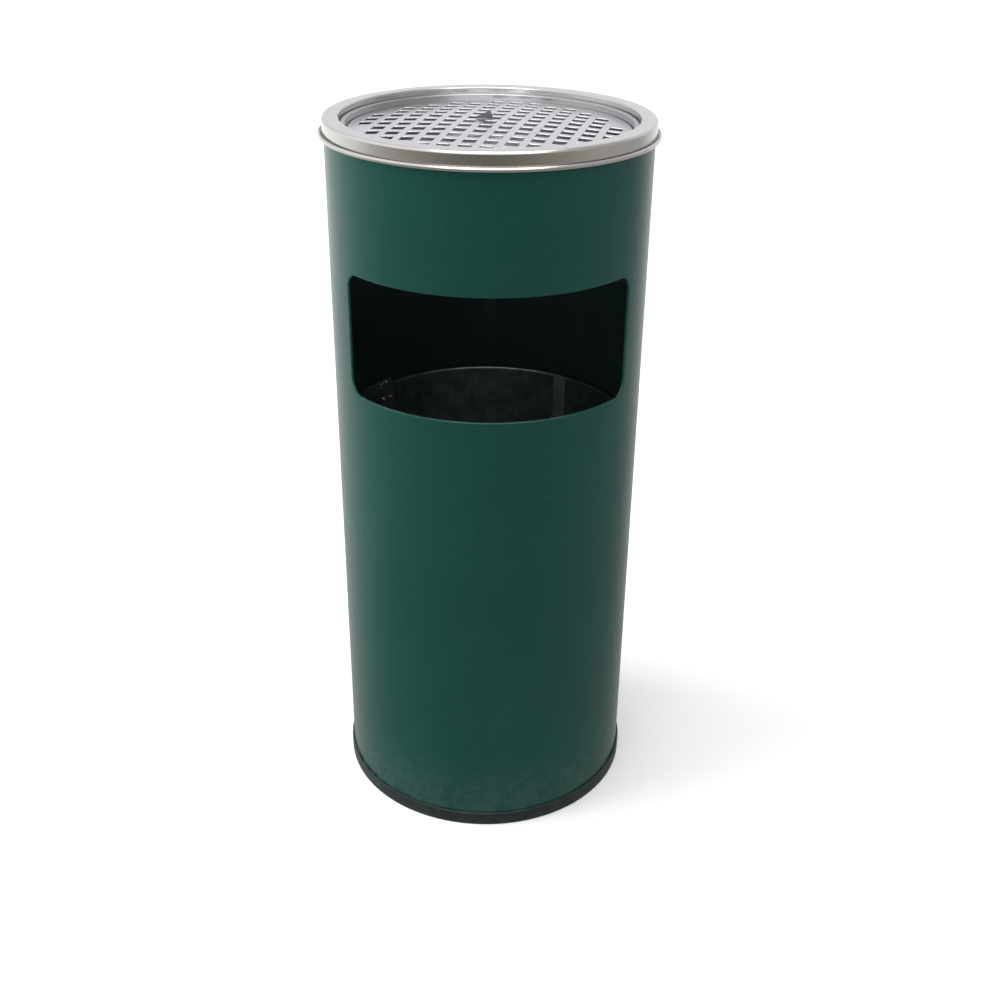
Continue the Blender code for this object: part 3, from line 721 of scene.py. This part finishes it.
def ear_mesh(name, azimuth):
    """A pressed ear with a pin hole and two rivet holes, all with softened edges."""
    inner = reach(node_points(name), 0)[0]
    low, high = (value.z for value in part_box(name))
    head, corner, hole, bevel = 0.008, 0.0018, 0.0018, 0.00022
    curve = bpy.data.curves.new(name + "_outline", "CURVE")
    curve.dimensions = "2D"
    curve.fill_mode = "BOTH"
    curve.resolution_u = 1
    curve.extrude = EAR_SHEET / 2 - bevel
    curve.bevel_depth = bevel
    curve.bevel_resolution = 2
    curve.offset = -bevel
    shoulder = high - head
    outline = [(-head, shoulder)]
    outline += arc(-head + corner, low + corner, corner, 180, 270, 5)
    outline += arc(head - corner, low + corner, corner, 270, 360, 5)
    outline += arc(0, shoulder, head, 0, 180, 24)[:-1]
    rivets = LINER_RIM_TOP - RIVET_DROP
    holes = ((0, PIN_HEIGHT), (-RIVET_SPREAD, rivets), (RIVET_SPREAD, rivets))
    for loop in [outline] + [arc(x, y, hole, 345, 0, 23) for x, y in holes]:
        add_spline(curve, [(x, y, 0) for x, y in loop], cyclic=True)
    mesh = mesh_of(curve, sharp_angle=50)
    mesh.transform(radial_frame(azimuth, 0) @ Matrix.Translation((0, 0, inner + EAR_SHEET / 2)))
    return mesh


def rivet_mesh(name, azimuth, sideways):
    """One rivet: a domed head inside the liner, its shank, and a flat head outside."""
    seat = radial_frame(azimuth, LINER_RIM_TOP - RIVET_DROP, sideways)
    back = seat.inverted()
    near, far = reach([back @ v.co for v in frame["nodes"][name].data.vertices], 2)
    head, shank = 0.0028, 0.0015
    under_dome, under_head = near + 0.0011, far - 0.00055
    dome = arc(0, under_dome + 0.0014, 0.0025, 270, 320, 7)[:-1]
    outline = [(0.0, near)] + [(radius, max(near, height)) for radius, height in dome[1:]]
    outline += rounded([(0.0021, near + 0.0004, 0), (head, near + 0.0009, 0.0003),
                        (head, under_dome, 0.0001), (shank, under_dome, 0.0001),
                        (shank, under_head, 0.0001), (head, under_head, 0.0001),
                        (head, far, 0.0002), (0.0, far, 0)], steps=3)
    mesh = turned_mesh(name + "_turned", outline, steps=28)
    mesh.transform(seat)
    return mesh


def bail_mesh():
    """The bail: one bent wire with a headed pin in each ear and a half circle that lies on the rim."""
    wire, pin, head = 0.002, 0.0014, 0.0024
    centre_radius = LINER_WIDEST - RIM_ROLL
    ear_inner = reach(node_points("liner_ear_a"), 0)[0]
    ear_outer = ear_inner + EAR_SHEET
    bend = 0.003
    head_end = ear_inner - 0.0003
    outwards, along = polar(1, BAIL_AZIMUTH, 0), polar(1, BAIL_AZIMUTH + math.pi / 2, 0)
    run = [(head_end - 0.001, head * 0.72), (head_end - 0.00085, head * 0.93), (head_end - 0.0006, head),
           (head_end - 0.0003, head), (head_end - 0.0001, head * 0.95), (head_end, pin),
           (ear_outer + 0.0003, pin), (ear_outer + 0.00045, wire * 0.94), (ear_outer + 0.0007, wire)]
    points = [(outwards * radius, size) for radius, size in run]
    centre = outwards * (centre_radius - bend) + along * bend
    elbow_steps = 8
    for k in range(1, elbow_steps):
        turn = math.radians(90 * k / elbow_steps)
        points.append((centre + (outwards * math.sin(turn) - along * math.cos(turn)) * bend, wire))
    first = math.asin(bend / centre_radius)
    steps = 48
    for i in range(steps + 1):
        azimuth = BAIL_AZIMUTH + first + (math.pi / 2 - first) * i / steps
        points.append((polar(centre_radius, azimuth, 0), wire))
    points += [(2 * along * point.dot(along) - point, size) for point, size in reversed(points[:-1])]
    curve = bpy.data.curves.new("bail_route", "CURVE")
    curve.dimensions = "3D"
    curve.bevel_depth = 1.0
    curve.bevel_resolution = 6
    curve.use_fill_caps = True
    spline = add_spline(curve, [(point.x, point.y, PIN_HEIGHT) for point, _ in points], cyclic=False)
    for target, (_, size) in zip(spline.points, points):
        target.radius = size
    return mesh_of(curve, sharp_angle=60)


# Node helpers

def feed(tree, socket, value):
    """Gives an input a link, a colour or a plain constant."""
    if isinstance(value, bpy.types.NodeSocket):
        tree.links.new(value, socket)
    elif socket.type == "RGBA":
        socket.default_value = (*value, 1)
    else:
        socket.default_value = value


def node(tree, kind, place, inputs=None, **settings):
    """Adds a node at a place in the editor. Its inputs are sockets or constants."""
    made = tree.nodes.new(kind if kind.startswith("NodeGroup") else "ShaderNode" + kind)
    made.location = place
    for key, value in settings.items():
        setattr(made, key, value)
    for key, value in (inputs or {}).items():
        feed(tree, made.inputs[key], value)
    return made


def maths(tree, operation, place, first, second=None, clamp=False):
    inputs = {0: first} if second is None else {0: first, 1: second}
    return node(tree, "Math", place, inputs, operation=operation, use_clamp=clamp).outputs[0]


def ramp(tree, place, value, *stops, interpolation="LINEAR"):
    """A colour ramp through (position, grey or colour) stops."""
    made = node(tree, "ValToRGB", place, {0: value})
    made.color_ramp.interpolation = interpolation
    elements = made.color_ramp.elements
    while len(elements) < len(stops):
        elements.new(0.5)
    for element, (position, colour) in zip(elements, stops):
        element.position = position
        if isinstance(colour, (int, float)):
            colour = (colour,) * 3
        element.color = (*colour, 1)
    return made.outputs[0]


def mixed(tree, place, factor, first, second, blend="MIX"):
    """A colour mix whose inputs are sockets or colours."""
    inputs = {0: factor, 6: first, 7: second}
    return node(tree, "Mix", place, inputs, data_type="RGBA", blend_type=blend).outputs[2]


def between(tree, place, value, low, high):
    """Maps a 0 to 1 value onto a range."""
    return node(tree, "MapRange", place, {"Value": value, "To Min": low, "To Max": high}).outputs[0]


def bumped(tree, place, height, strength, distance, **after):
    inputs = {"Height": height, "Strength": strength, "Distance": distance, **after}
    return node(tree, "Bump", place, inputs).outputs[0]


def object_place(tree, place):
    return node(tree, "TexCoord", place).outputs["Object"]


def clouds(tree, place, where, scale, detail, **others):
    """Soft noise, from 0 to 1."""
    inputs = {"Vector": where, "Scale": scale, "Detail": detail, **others}
    return node(tree, "TexNoise", place, inputs).outputs[0]


def away_from_axis(tree, place, where):
    """A place's vector from the bin's axis, without its height."""
    return node(tree, "VectorMath", place, {0: where, 1: (1, 1, 0)}, operation="MULTIPLY").outputs[0]


def connect(tree, target, **values):
    """Links values to a node's inputs, where _ in a label stands for a space."""
    for label, value in values.items():
        tree.links.new(value, target.inputs[label.replace("_", " ")])


# Node groups that several finishes share

def new_group(name, inputs, outputs):
    """A shader node group with inputs (name, default) and named outputs, all of them numbers."""
    tree = bpy.data.node_groups.new(name, "ShaderNodeTree")
    for label, default in inputs:
        socket = tree.interface.new_socket(label, in_out="INPUT", socket_type="NodeSocketFloat")
        socket.default_value = default
    for label in outputs:
        tree.interface.new_socket(label, in_out="OUTPUT", socket_type="NodeSocketFloat")
    source = node(tree, "NodeGroupInput", (-900, 0)).outputs
    return tree, source, node(tree, "NodeGroupOutput", (700, 0))


def use_group(tree, name, place, **values):
    """The outputs of a group, with its inputs given by name."""
    made = node(tree, "Group", place, node_tree=bpy.data.node_groups[name])
    made.width = 180
    for label, value in values.items():
        made.inputs[label.replace("_", " ").capitalize()].default_value = value
    return made.outputs


def axis_group():
    """Radius, angle and height about the bin's axis."""
    tree, _, sink = new_group("round_the_axis", (), ("Radius", "Angle", "Height"))
    where = object_place(tree, (-700, 0))
    parts = node(tree, "SeparateXYZ", (-500, 0), {0: where}).outputs
    flat = away_from_axis(tree, (-300, 160), where)
    length = node(tree, "VectorMath", (-100, 160), {0: flat}, operation="LENGTH")
    angle = maths(tree, "ARCTAN2", (-100, -60), parts["X"], parts["Y"])
    connect(tree, sink, Radius=length.outputs["Value"], Angle=angle, Height=parts["Z"])


def inwards_group():
    """Where a surface faces the bin's axis."""
    tree, _, sink = new_group("facing_inwards", (), ("Inwards",))
    normal = node(tree, "NewGeometry", (-700, 240)).outputs["Normal"]
    flat = away_from_axis(tree, (-500, 0), object_place(tree, (-700, 0)))
    outwards = node(tree, "VectorMath", (-300, 0), {0: flat}, operation="NORMALIZE").outputs[0]
    along = node(tree, "VectorMath", (-100, 120), {0: normal, 1: outwards}, operation="DOT_PRODUCT")
    inwards = maths(tree, "MULTIPLY", (120, 120), along.outputs["Value"], -1.0)
    connect(tree, sink, Inwards=ramp(tree, (320, 120), inwards, (0.4, 0.0), (0.8, 1.0)))


def lines_group():
    """Fine polishing or rolling lines that run round a turned piece."""
    tree, source, sink = new_group("turning_lines", (("Fineness", 4000.0), ("Drift", 3.0)),
                                   ("Lines", "Tone"))
    about = use_group(tree, "round_the_axis", (-700, 100))
    radius = maths(tree, "MULTIPLY", (-450, 160), about["Radius"], source["Fineness"])
    height = maths(tree, "MULTIPLY", (-450, 0), about["Height"], source["Fineness"])
    sine = maths(tree, "SINE", (-450, -160), about["Angle"])
    drift = maths(tree, "MULTIPLY", (-280, -160), sine, source["Drift"])
    joined = node(tree, "CombineXYZ", (-100, 60), {0: radius, 1: height, 2: drift}).outputs[0]
    connect(tree, sink, Lines=clouds(tree, (100, 120), joined, 1.0, 4.0, Roughness=0.62),
            Tone=clouds(tree, (100, -160), joined, 0.07, 2.0))


def grain_group():
    """Powder or moulding grain, at two sizes."""
    tree, source, sink = new_group("fine_grain", (("Coarse", 900.0), ("Fine", 3200.0)),
                                   ("Grain", "Speckle"))
    where = object_place(tree, (-700, 0))
    coarse = clouds(tree, (-300, 140), where, source["Coarse"], 1.0, Roughness=0.4)
    fine = clouds(tree, (-300, -140), where, source["Fine"], 2.0, Roughness=0.6)
    share = maths(tree, "MULTIPLY", (-60, -140), fine, 0.45)
    connect(tree, sink, Grain=maths(tree, "ADD", (140, 60), coarse, share),
            Speckle=between(tree, (140, -320), fine, -0.4, 1.4))


def marks_group():
    """Handling marks: broad soft patches with finer streaks inside them."""
    tree, source, sink = new_group("handling_marks", (("Size", 18.0), ("Amount", 0.5)), ("Marks",))
    where = object_place(tree, (-700, 0))
    finer = maths(tree, "MULTIPLY", (-600, -260), source["Size"], 5.0)
    patches = clouds(tree, (-400, 140), where, source["Size"], 3.0, Distortion=0.6)
    rubs = clouds(tree, (-400, -140), where, finer, 5.0, Roughness=0.7, Distortion=1.2)
    shaped = ramp(tree, (-180, 140), patches, (0.42, 0.0), (0.68, 1.0), interpolation="EASE")
    streaked = ramp(tree, (-180, -140), rubs, (0.4, 0.25), (0.66, 1.0))
    both = maths(tree, "MULTIPLY", (140, 0), shaped, streaked)
    connect(tree, sink, Marks=maths(tree, "MULTIPLY", (340, 0), both, source["Amount"], clamp=True))


def dust_group():
    """Dust that settles on faces that look up, and gathers low down."""
    tree, source, sink = new_group("settled_dust", (("Upward", 0.35), ("Low", 0.3), ("Low height", 0.06)),
                                   ("Dust",))
    normal = node(tree, "NewGeometry", (-900, 300)).outputs["Normal"]
    split = node(tree, "SeparateXYZ", (-700, 300), {0: normal})
    facing = maths(tree, "MAXIMUM", (-500, 300), split.outputs["Z"], 0.0)
    facing = maths(tree, "MULTIPLY", (-320, 300), facing, source["Upward"])
    about = use_group(tree, "round_the_axis", (-900, -260))
    nearness = maths(tree, "DIVIDE", (-500, -200), about["Height"], source["Low height"])
    nearness = maths(tree, "SUBTRACT", (-320, -200), 1.0, nearness, clamp=True)
    nearness = maths(tree, "MULTIPLY", (-140, -200), nearness, source["Low"])
    cloud = clouds(tree, (-500, 60), object_place(tree, (-900, 60)), 95.0, 6.0, Roughness=0.75)
    specks = ramp(tree, (-320, 60), cloud, (0.38, 0.0), (0.7, 1.0))
    total = maths(tree, "ADD", (40, 120), facing, nearness)
    connect(tree, sink, Dust=maths(tree, "MULTIPLY", (220, 60), total, specks, clamp=True))


def spangle_group():
    """Crystal patches of hot-dipped zinc, with slightly bent borders."""
    tree, source, sink = new_group("zinc_spangle", (("Size", 130.0),), ("Tone", "Edges"))
    where = object_place(tree, (-800, 0))
    bent = node(tree, "TexNoise", (-620, -120), {"Vector": where, "Scale": 60.0, "Detail": 2.0})
    shifted = node(tree, "VectorMath", (-440, 0),
                   {0: bent.outputs["Color"], 1: (0.006, 0.006, 0.006), 2: where},
                   operation="MULTIPLY_ADD")
    crystals = {"Vector": shifted.outputs[0], "Scale": source["Size"]}
    patches = node(tree, "TexVoronoi", (-220, 120), crystals)
    borders = node(tree, "TexVoronoi", (-220, -180), crystals, feature="DISTANCE_TO_EDGE")
    tone = node(tree, "SeparateColor", (20, 120), {0: patches.outputs["Color"]})
    connect(tree, sink, Tone=tone.outputs[0],
            Edges=ramp(tree, (20, -180), borders.outputs["Distance"], (0.0, 1.0), (0.09, 0.0)))


def make_groups():
    for make in (axis_group, inwards_group, lines_group, grain_group, marks_group, dust_group,
                 spangle_group):
        make()


# Finishes

def shaded(colour, share):
    return tuple(min(1.0, value * share) for value in colour)


def new_finish(name, **constants):
    """A material with one Principled shader, whose even values are set on its own sockets."""
    material = bpy.data.materials.new(name)
    material.use_nodes = True
    shader = material.node_tree.nodes["Principled BSDF"]
    shader.location = (700, 0)
    material.node_tree.nodes["Material Output"].location = (1000, 0)
    for label, value in constants.items():
        shader.inputs[label.replace("_", " ")].default_value = value
    return material, material.node_tree, shader


def paint_finish():
    """Dark green powder coat: orange peel, speckle, dust low down, rubbed patches, and a thin greyer coat
    inside that is also painted lighter, as painted light inside the shell.
    """
    material, tree, shader = new_finish("green_powder_coat", Metallic=0.0, IOR=1.5,
                                        Specular_IOR_Level=0.27)
    grain = use_group(tree, "fine_grain", (-900, -300), coarse=760.0, fine=1150.0)
    marks = use_group(tree, "handling_marks", (-900, 0), size=7.0, amount=0.7)[0]
    dust = use_group(tree, "settled_dust", (-900, 300), upward=0.3, low=0.3, low_height=0.07)[0]
    tone = clouds(tree, (-900, 520), object_place(tree, (-1100, 500)), 6.0, 3.0)
    base = ramp(tree, (-700, 520), tone, (0.3, (0.0016, 0.0365, 0.0285)), (0.7, (0.0023, 0.044, 0.0345)))
    speckled = between(tree, (-700, -320), grain["Speckle"], 0.76, 1.24)
    toned = mixed(tree, (-480, 420), 1.0, base, speckled, "MULTIPLY")
    rubbed = mixed(tree, (-260, 300), maths(tree, "MULTIPLY", (-480, 120), marks, 0.14), toned,
                   (0.016, 0.062, 0.052))
    dusty = mixed(tree, (-40, 300), dust, rubbed, (0.12, 0.125, 0.11))
    inwards = use_group(tree, "facing_inwards", (-40, 500))[0]
    # Inward faces get a greyer green that is also painted lighter: painted light standing in for the
    # light that reaches inside the shell.
    thin_coat_and_painted_light = mixed(tree, (200, 300), inwards, dusty, (0.026, 0.05, 0.045))
    rough = maths(tree, "ADD", (0, -40), between(tree, (-260, -40), marks, 0.25, 0.33),
                  maths(tree, "MULTIPLY", (-260, -220), dust, 0.3))
    peel = bumped(tree, (300, -300), grain["Grain"], 0.4, 0.00005)
    connect(tree, shader, Base_Color=thin_coat_and_painted_light, Roughness=rough, Normal=peel)
    return material


def plastic_finish():
    """Charcoal moulded plastic: fine texture, greyed by scuffs and dust."""
    material, tree, shader = new_finish("black_plastic", Metallic=0.0, IOR=1.48, Specular_IOR_Level=0.35)
    grain = use_group(tree, "fine_grain", (-700, -300), coarse=1500.0, fine=4200.0)
    marks = use_group(tree, "handling_marks", (-700, 0), size=34.0, amount=0.9)[0]
    dust = use_group(tree, "settled_dust", (-700, 300), upward=0.5, low=0.35, low_height=0.014)[0]
    scuffed = mixed(tree, (-300, 200), marks, (0.005, 0.013, 0.0125), (0.012, 0.026, 0.025))
    connect(tree, shader, Base_Color=mixed(tree, (-80, 300), dust, scuffed, (0.08, 0.08, 0.075)),
            Roughness=between(tree, (-80, -40), marks, 0.45, 0.62),
            Normal=bumped(tree, (300, -300), grain["Grain"], 0.4, 0.00006))
    return material


def stainless_finish(name, colour, roughness, fineness, line_strength, marks_size, marks_amount):
    """Polished stainless sheet with turning lines, handling marks and a little settled ash dust."""
    material, tree, shader = new_finish(name, Metallic=1.0)
    lines = use_group(tree, "turning_lines", (-900, -300), fineness=fineness, drift=2.0)
    marks = use_group(tree, "handling_marks", (-900, 0), size=marks_size, amount=marks_amount)[0]
    dust = use_group(tree, "settled_dust", (-900, 300), upward=0.12, low=0.0)[0]
    toned = mixed(tree, (-600, 200), lines["Tone"], shaded(colour, 0.93), colour)
    smudged = mixed(tree, (-380, 200), maths(tree, "MULTIPLY", (-600, 20), marks, 0.25), toned,
                    shaded(colour, 0.8))
    dusty = mixed(tree, (-160, 300), dust, smudged, (0.4, 0.38, 0.35))
    rough = maths(tree, "ADD", (-160, -60),
                  between(tree, (-380, -60), marks, roughness, roughness + 0.09),
                  between(tree, (-600, -300), lines["Lines"], -0.03, 0.03))
    rough = maths(tree, "ADD", (40, -60), rough, maths(tree, "MULTIPLY", (-160, -240), dust, 0.35))
    brushed = bumped(tree, (300, -300), lines["Lines"], line_strength, 0.00001)
    connect(tree, shader, Base_Color=dusty, Roughness=rough, Normal=brushed)
    return material


def zinc_runs(tree, streaks):
    """A mask of streaks that run down an upright wall."""
    about = use_group(tree, "round_the_axis", (-1300, -560))
    around = maths(tree, "MULTIPLY", (-1100, -520), about["Angle"], 16.0)
    upwards = maths(tree, "MULTIPLY", (-1100, -680), about["Height"], 2.5)
    joined = node(tree, "CombineXYZ", (-900, -560), {0: around, 1: upwards}).outputs[0]
    runs = clouds(tree, (-700, -560), joined, 1.6, 5.0, Roughness=0.65)
    mask = ramp(tree, (-500, -560), runs, (0.4, 0.0), (0.72, 1.0))
    return maths(tree, "MULTIPLY", (-220, -560), mask, streaks)


def zinc_finish(name, colour, roughness, spangle_size, streaks):
    """Zinc-coated sheet: crystal patches, dull bloom, and streaks down an upright wall."""
    material, tree, shader = new_finish(name, Metallic=1.0)
    spangle = use_group(tree, "zinc_spangle", (-1000, 200), size=spangle_size)
    marks = use_group(tree, "handling_marks", (-1000, 0), size=22.0, amount=0.5)[0]
    grain = use_group(tree, "fine_grain", (-1000, -300), coarse=1300.0, fine=5200.0)
    toned = mixed(tree, (-700, 260), spangle["Tone"], shaded(colour, 0.82), shaded(colour, 1.12))
    bloomed = mixed(tree, (-460, 260), maths(tree, "MULTIPLY", (-700, 60), marks, 0.4), toned,
                    shaded(colour, 1.15))
    streaked = mixed(tree, (-220, 260), zinc_runs(tree, streaks), bloomed, shaded(colour, 0.55))
    rough = maths(tree, "ADD", (-220, -40),
                  between(tree, (-460, -40), spangle["Tone"], roughness - 0.03, roughness + 0.03),
                  maths(tree, "MULTIPLY", (-460, -200), marks, 0.06))
    rippled = bumped(tree, (200, -260), grain["Grain"], 0.25, 0.00003)
    edged = bumped(tree, (440, -260), spangle["Edges"], 0.12, 0.00002, Normal=rippled)
    connect(tree, shader, Base_Color=streaked, Roughness=rough, Normal=edged)
    return material


def floor_finish():
    """Pale matt floor that glows a little, and more the further it lies from the bin."""
    material, tree, shader = new_finish("studio_floor", Roughness=0.9, IOR=1.3, Emission_Strength=0.4)
    cloud = clouds(tree, (-500, 0), object_place(tree, (-700, 0)), 1.5, 2.0)
    radius = use_group(tree, "round_the_axis", (-700, -260))["Radius"]
    glow = ramp(tree, (-250, -260), maths(tree, "MULTIPLY", (-500, -260), radius, 0.2),
                (0.1, 0.2), (0.7, 1.0))
    connect(tree, shader, Base_Color=ramp(tree, (-250, 0), cloud, (0.3, 0.87), (0.7, 0.885)),
            Emission_Color=glow)
    return material


# Studio

def make_camera():
    data = bpy.data.cameras.new("studio_camera")
    data.lens = CAMERA_LENS
    data.sensor_width = 36
    camera = add_object("studio_camera", data)
    turn = (Matrix.Rotation(-CAMERA_PAN, 4, "Z") @ Matrix.Rotation(math.pi / 2 - CAMERA_TILT, 4, "X")
            @ Matrix.Rotation(-CAMERA_ROLL, 4, "Z"))
    camera.matrix_world = Matrix.Translation(CAMERA_PLACE) @ turn
    bpy.context.scene.camera = camera


def make_floor():
    """A wide pale floor. Polished pieces reflect the room instead, as over a small sheet of paper."""
    mesh = bpy.data.meshes.new("floor")
    size = 12.0
    corners = [(-size, -size, 0), (size, -size, 0), (size, size, 0), (-size, size, 0)]
    mesh.from_pydata(corners, [], [(0, 1, 2, 3)])
    mesh.materials.append(floor_finish())
    floor = add_object("floor", mesh)
    floor.visible_glossy = False


def make_room():
    """The room as polished pieces see it: pale walls and ceiling over a floor that is dark in front."""
    world = bpy.data.worlds.new("studio_room")
    bpy.context.scene.world = world
    world.use_nodes = True
    tree = world.node_tree
    background = tree.nodes["Background"]
    background.location = (1100, 0)
    tree.nodes["World Output"].location = (1300, 0)
    direction = node(tree, "TexCoord", (-900, 0)).outputs["Generated"]
    parts = node(tree, "SeparateXYZ", (-700, 0), {0: direction}).outputs
    spans = {"From Min": -1.0, "From Max": 1.0}
    sideways, back, height = (
        node(tree, "MapRange", (-500, y), {"Value": parts[label], **spans}).outputs[0]
        for label, y in (("X", 320), ("Y", 0), ("Z", -320)))

    # The floor and the low walls, on the left and on the right
    dark_front, underfoot = (0.16, 0.145, 0.125), (0.32, 0.32, 0.3)
    left = ramp(tree, (-260, 500), back, (0.0, dark_front), (0.25, (0.35, 0.335, 0.31)),
                (0.45, 0.55), (0.6, 0.95), (0.78, 1.15), (1.0, 1.25))
    right = ramp(tree, (-260, 260), back, (0.0, dark_front), (0.2, (0.33, 0.31, 0.28)),
                 (0.36, (0.43, 0.42, 0.4)), (0.75, 0.46), (1.0, 1.15))
    rightness = ramp(tree, (-260, 20), sideways, (0.4, 0.0), (0.64, 1.0), interpolation="EASE")
    ground = mixed(tree, (60, 300), rightness, left, right)
    nearness = ramp(tree, (-260, -220), height, (0.16, 0.85), (0.37, 0.0))
    ground = mixed(tree, (260, 200), nearness, ground, underfoot)

    # The upper walls and the ceiling
    walls = ramp(tree, (60, -60), sideways, (0.0, 1.25), (0.35, 0.95), (0.7, 0.55), (1.0, 0.5))
    far_wall = ramp(tree, (60, -540), back, (0.6, 0.0), (0.9, 1.0))
    walls = mixed(tree, (300, -200), far_wall, walls, (0.93, 0.93, 0.97))
    above = ramp(tree, (60, -320), height, (0.485, 0.0), (0.53, 1.0))
    connect(tree, background, Color=mixed(tree, (700, 60), above, ground, walls))
    background.inputs["Strength"].default_value = 1.0


def softbox(name, place, aim, width, height, power, reflects=True, lights=True):
    """A rectangular lamp. One that doesn't light is a card that only shows in reflections."""
    data = bpy.data.lights.new(name, "AREA")
    data.shape = "RECTANGLE"
    data.size, data.size_y = width, height
    data.energy = power
    lamp = add_object(name, data)
    lamp.location = place
    lamp.rotation_euler = (Vector(aim) - Vector(place)).to_track_quat("-Z", "Y").to_euler()
    lamp.visible_glossy = reflects
    lamp.visible_diffuse = lights


def make_lights():
    softbox("key_left", (-2.3, -0.1, 1.5), (0, 0, 0.35), width=2.2, height=2.0, power=78, reflects=False)
    softbox("fill_right", (1.0, -0.5, 1.3), (0, 0, 0.55), width=0.6, height=0.6, power=4, reflects=False)
    softbox("ceiling", (0.1, -0.4, 2.5), (0, 0, 0.5), width=1.8, height=1.2, power=16)
    softbox("front_card", (0, -1.6, 1.9), (0, 0, 0.55), width=2.6, height=1.2, power=26, lights=False)


# The bin

def make_bin():
    paint = paint_finish()
    plastic = plastic_finish()
    brushed = stainless_finish("satin_stainless", (0.64, 0.625, 0.6), roughness=0.18, fineness=5200.0,
                               line_strength=0.5, marks_size=16.0, marks_amount=0.5)
    pressed = stainless_finish("pressed_stainless", (0.46, 0.46, 0.47), roughness=0.28, fineness=3800.0,
                               line_strength=0.35, marks_size=20.0, marks_amount=0.6)
    punched = stainless_finish("grate_stainless", (0.66, 0.66, 0.68), roughness=0.24, fineness=2600.0,
                               line_strength=0.3, marks_size=26.0, marks_amount=0.8)
    # The lift tab's dark grey is a painted reflection: the tab is the grate's own stainless, coloured
    # dark for the dark front of the room that its face reflects.
    tab_painted_dark = stainless_finish("tab_stainless_painted_dark", (0.17, 0.17, 0.18), roughness=0.4, fineness=2600.0,
                             line_strength=0.3, marks_size=60.0, marks_amount=0.8)
    galvanised = zinc_finish("galvanised_sheet", (0.24, 0.29, 0.28), roughness=0.42, spangle_size=130.0,
                             streaks=0.3)
    wire = zinc_finish("zinc_wire", (0.47, 0.48, 0.48), roughness=0.34, spangle_size=420.0, streaks=0.0)

    piece("shell_sheet", shell_mesh(), paint, "shell", "green_powder_coat", "outer_shell")
    piece("foot_ring", foot_mesh(), plastic, "shell", "black_plastic", "base_ring")
    piece("bottom_pressing", plate_mesh(), galvanised, "shell", "galvanised_sheet", "bottom_plate")
    piece("crown_band_lip", ring_mesh(), brushed, "top", "satin_stainless", "ashtray_ring")
    piece("ash_dish", pan_mesh(), pressed, "pan", "pressed_stainless", "ash_pan")
    piece("punched_grate", grate_mesh(), punched, "grate", "grate_stainless", "grate")
    tab = piece("lift_tab_bent", tab_mesh(), tab_painted_dark, "grate", "grate_stainless", "lift_tab")
    thicken(tab, TAB_SHEET, 0.00025)
    piece("bucket_wall", liner_mesh(), galvanised, "liner", "galvanised_sheet", "liner_wall")
    piece("bucket_floor", liner_floor_mesh(), galvanised, "liner", "galvanised_sheet", "liner_bottom")
    piece("rim_wire", rim_wire_mesh(), wire, "liner", "zinc_wire", "liner_rim_wire")
    for letter, azimuth in (("a", BAIL_AZIMUTH), ("b", BAIL_AZIMUTH + math.pi)):
        name = "liner_ear_" + letter
        piece("pressed_ear_" + letter, ear_mesh(name, azimuth), wire, "liner", "zinc_wire", name)
        for number, side in (("1", -1), ("2", 1)):
            name = "liner_rivet_" + letter + number
            rivet = rivet_mesh(name, azimuth, side * RIVET_SPREAD)
            piece("rivet_" + letter + number, rivet, wire, "liner", "zinc_wire", name)
    piece("bail_wire", bail_mesh(), wire, "bail", "zinc_wire", "bail_handle")


make_camera()
make_groups()
make_floor()
make_room()
make_lights()
make_bin()
bpy.context.scene.view_settings.view_transform = "Standard"
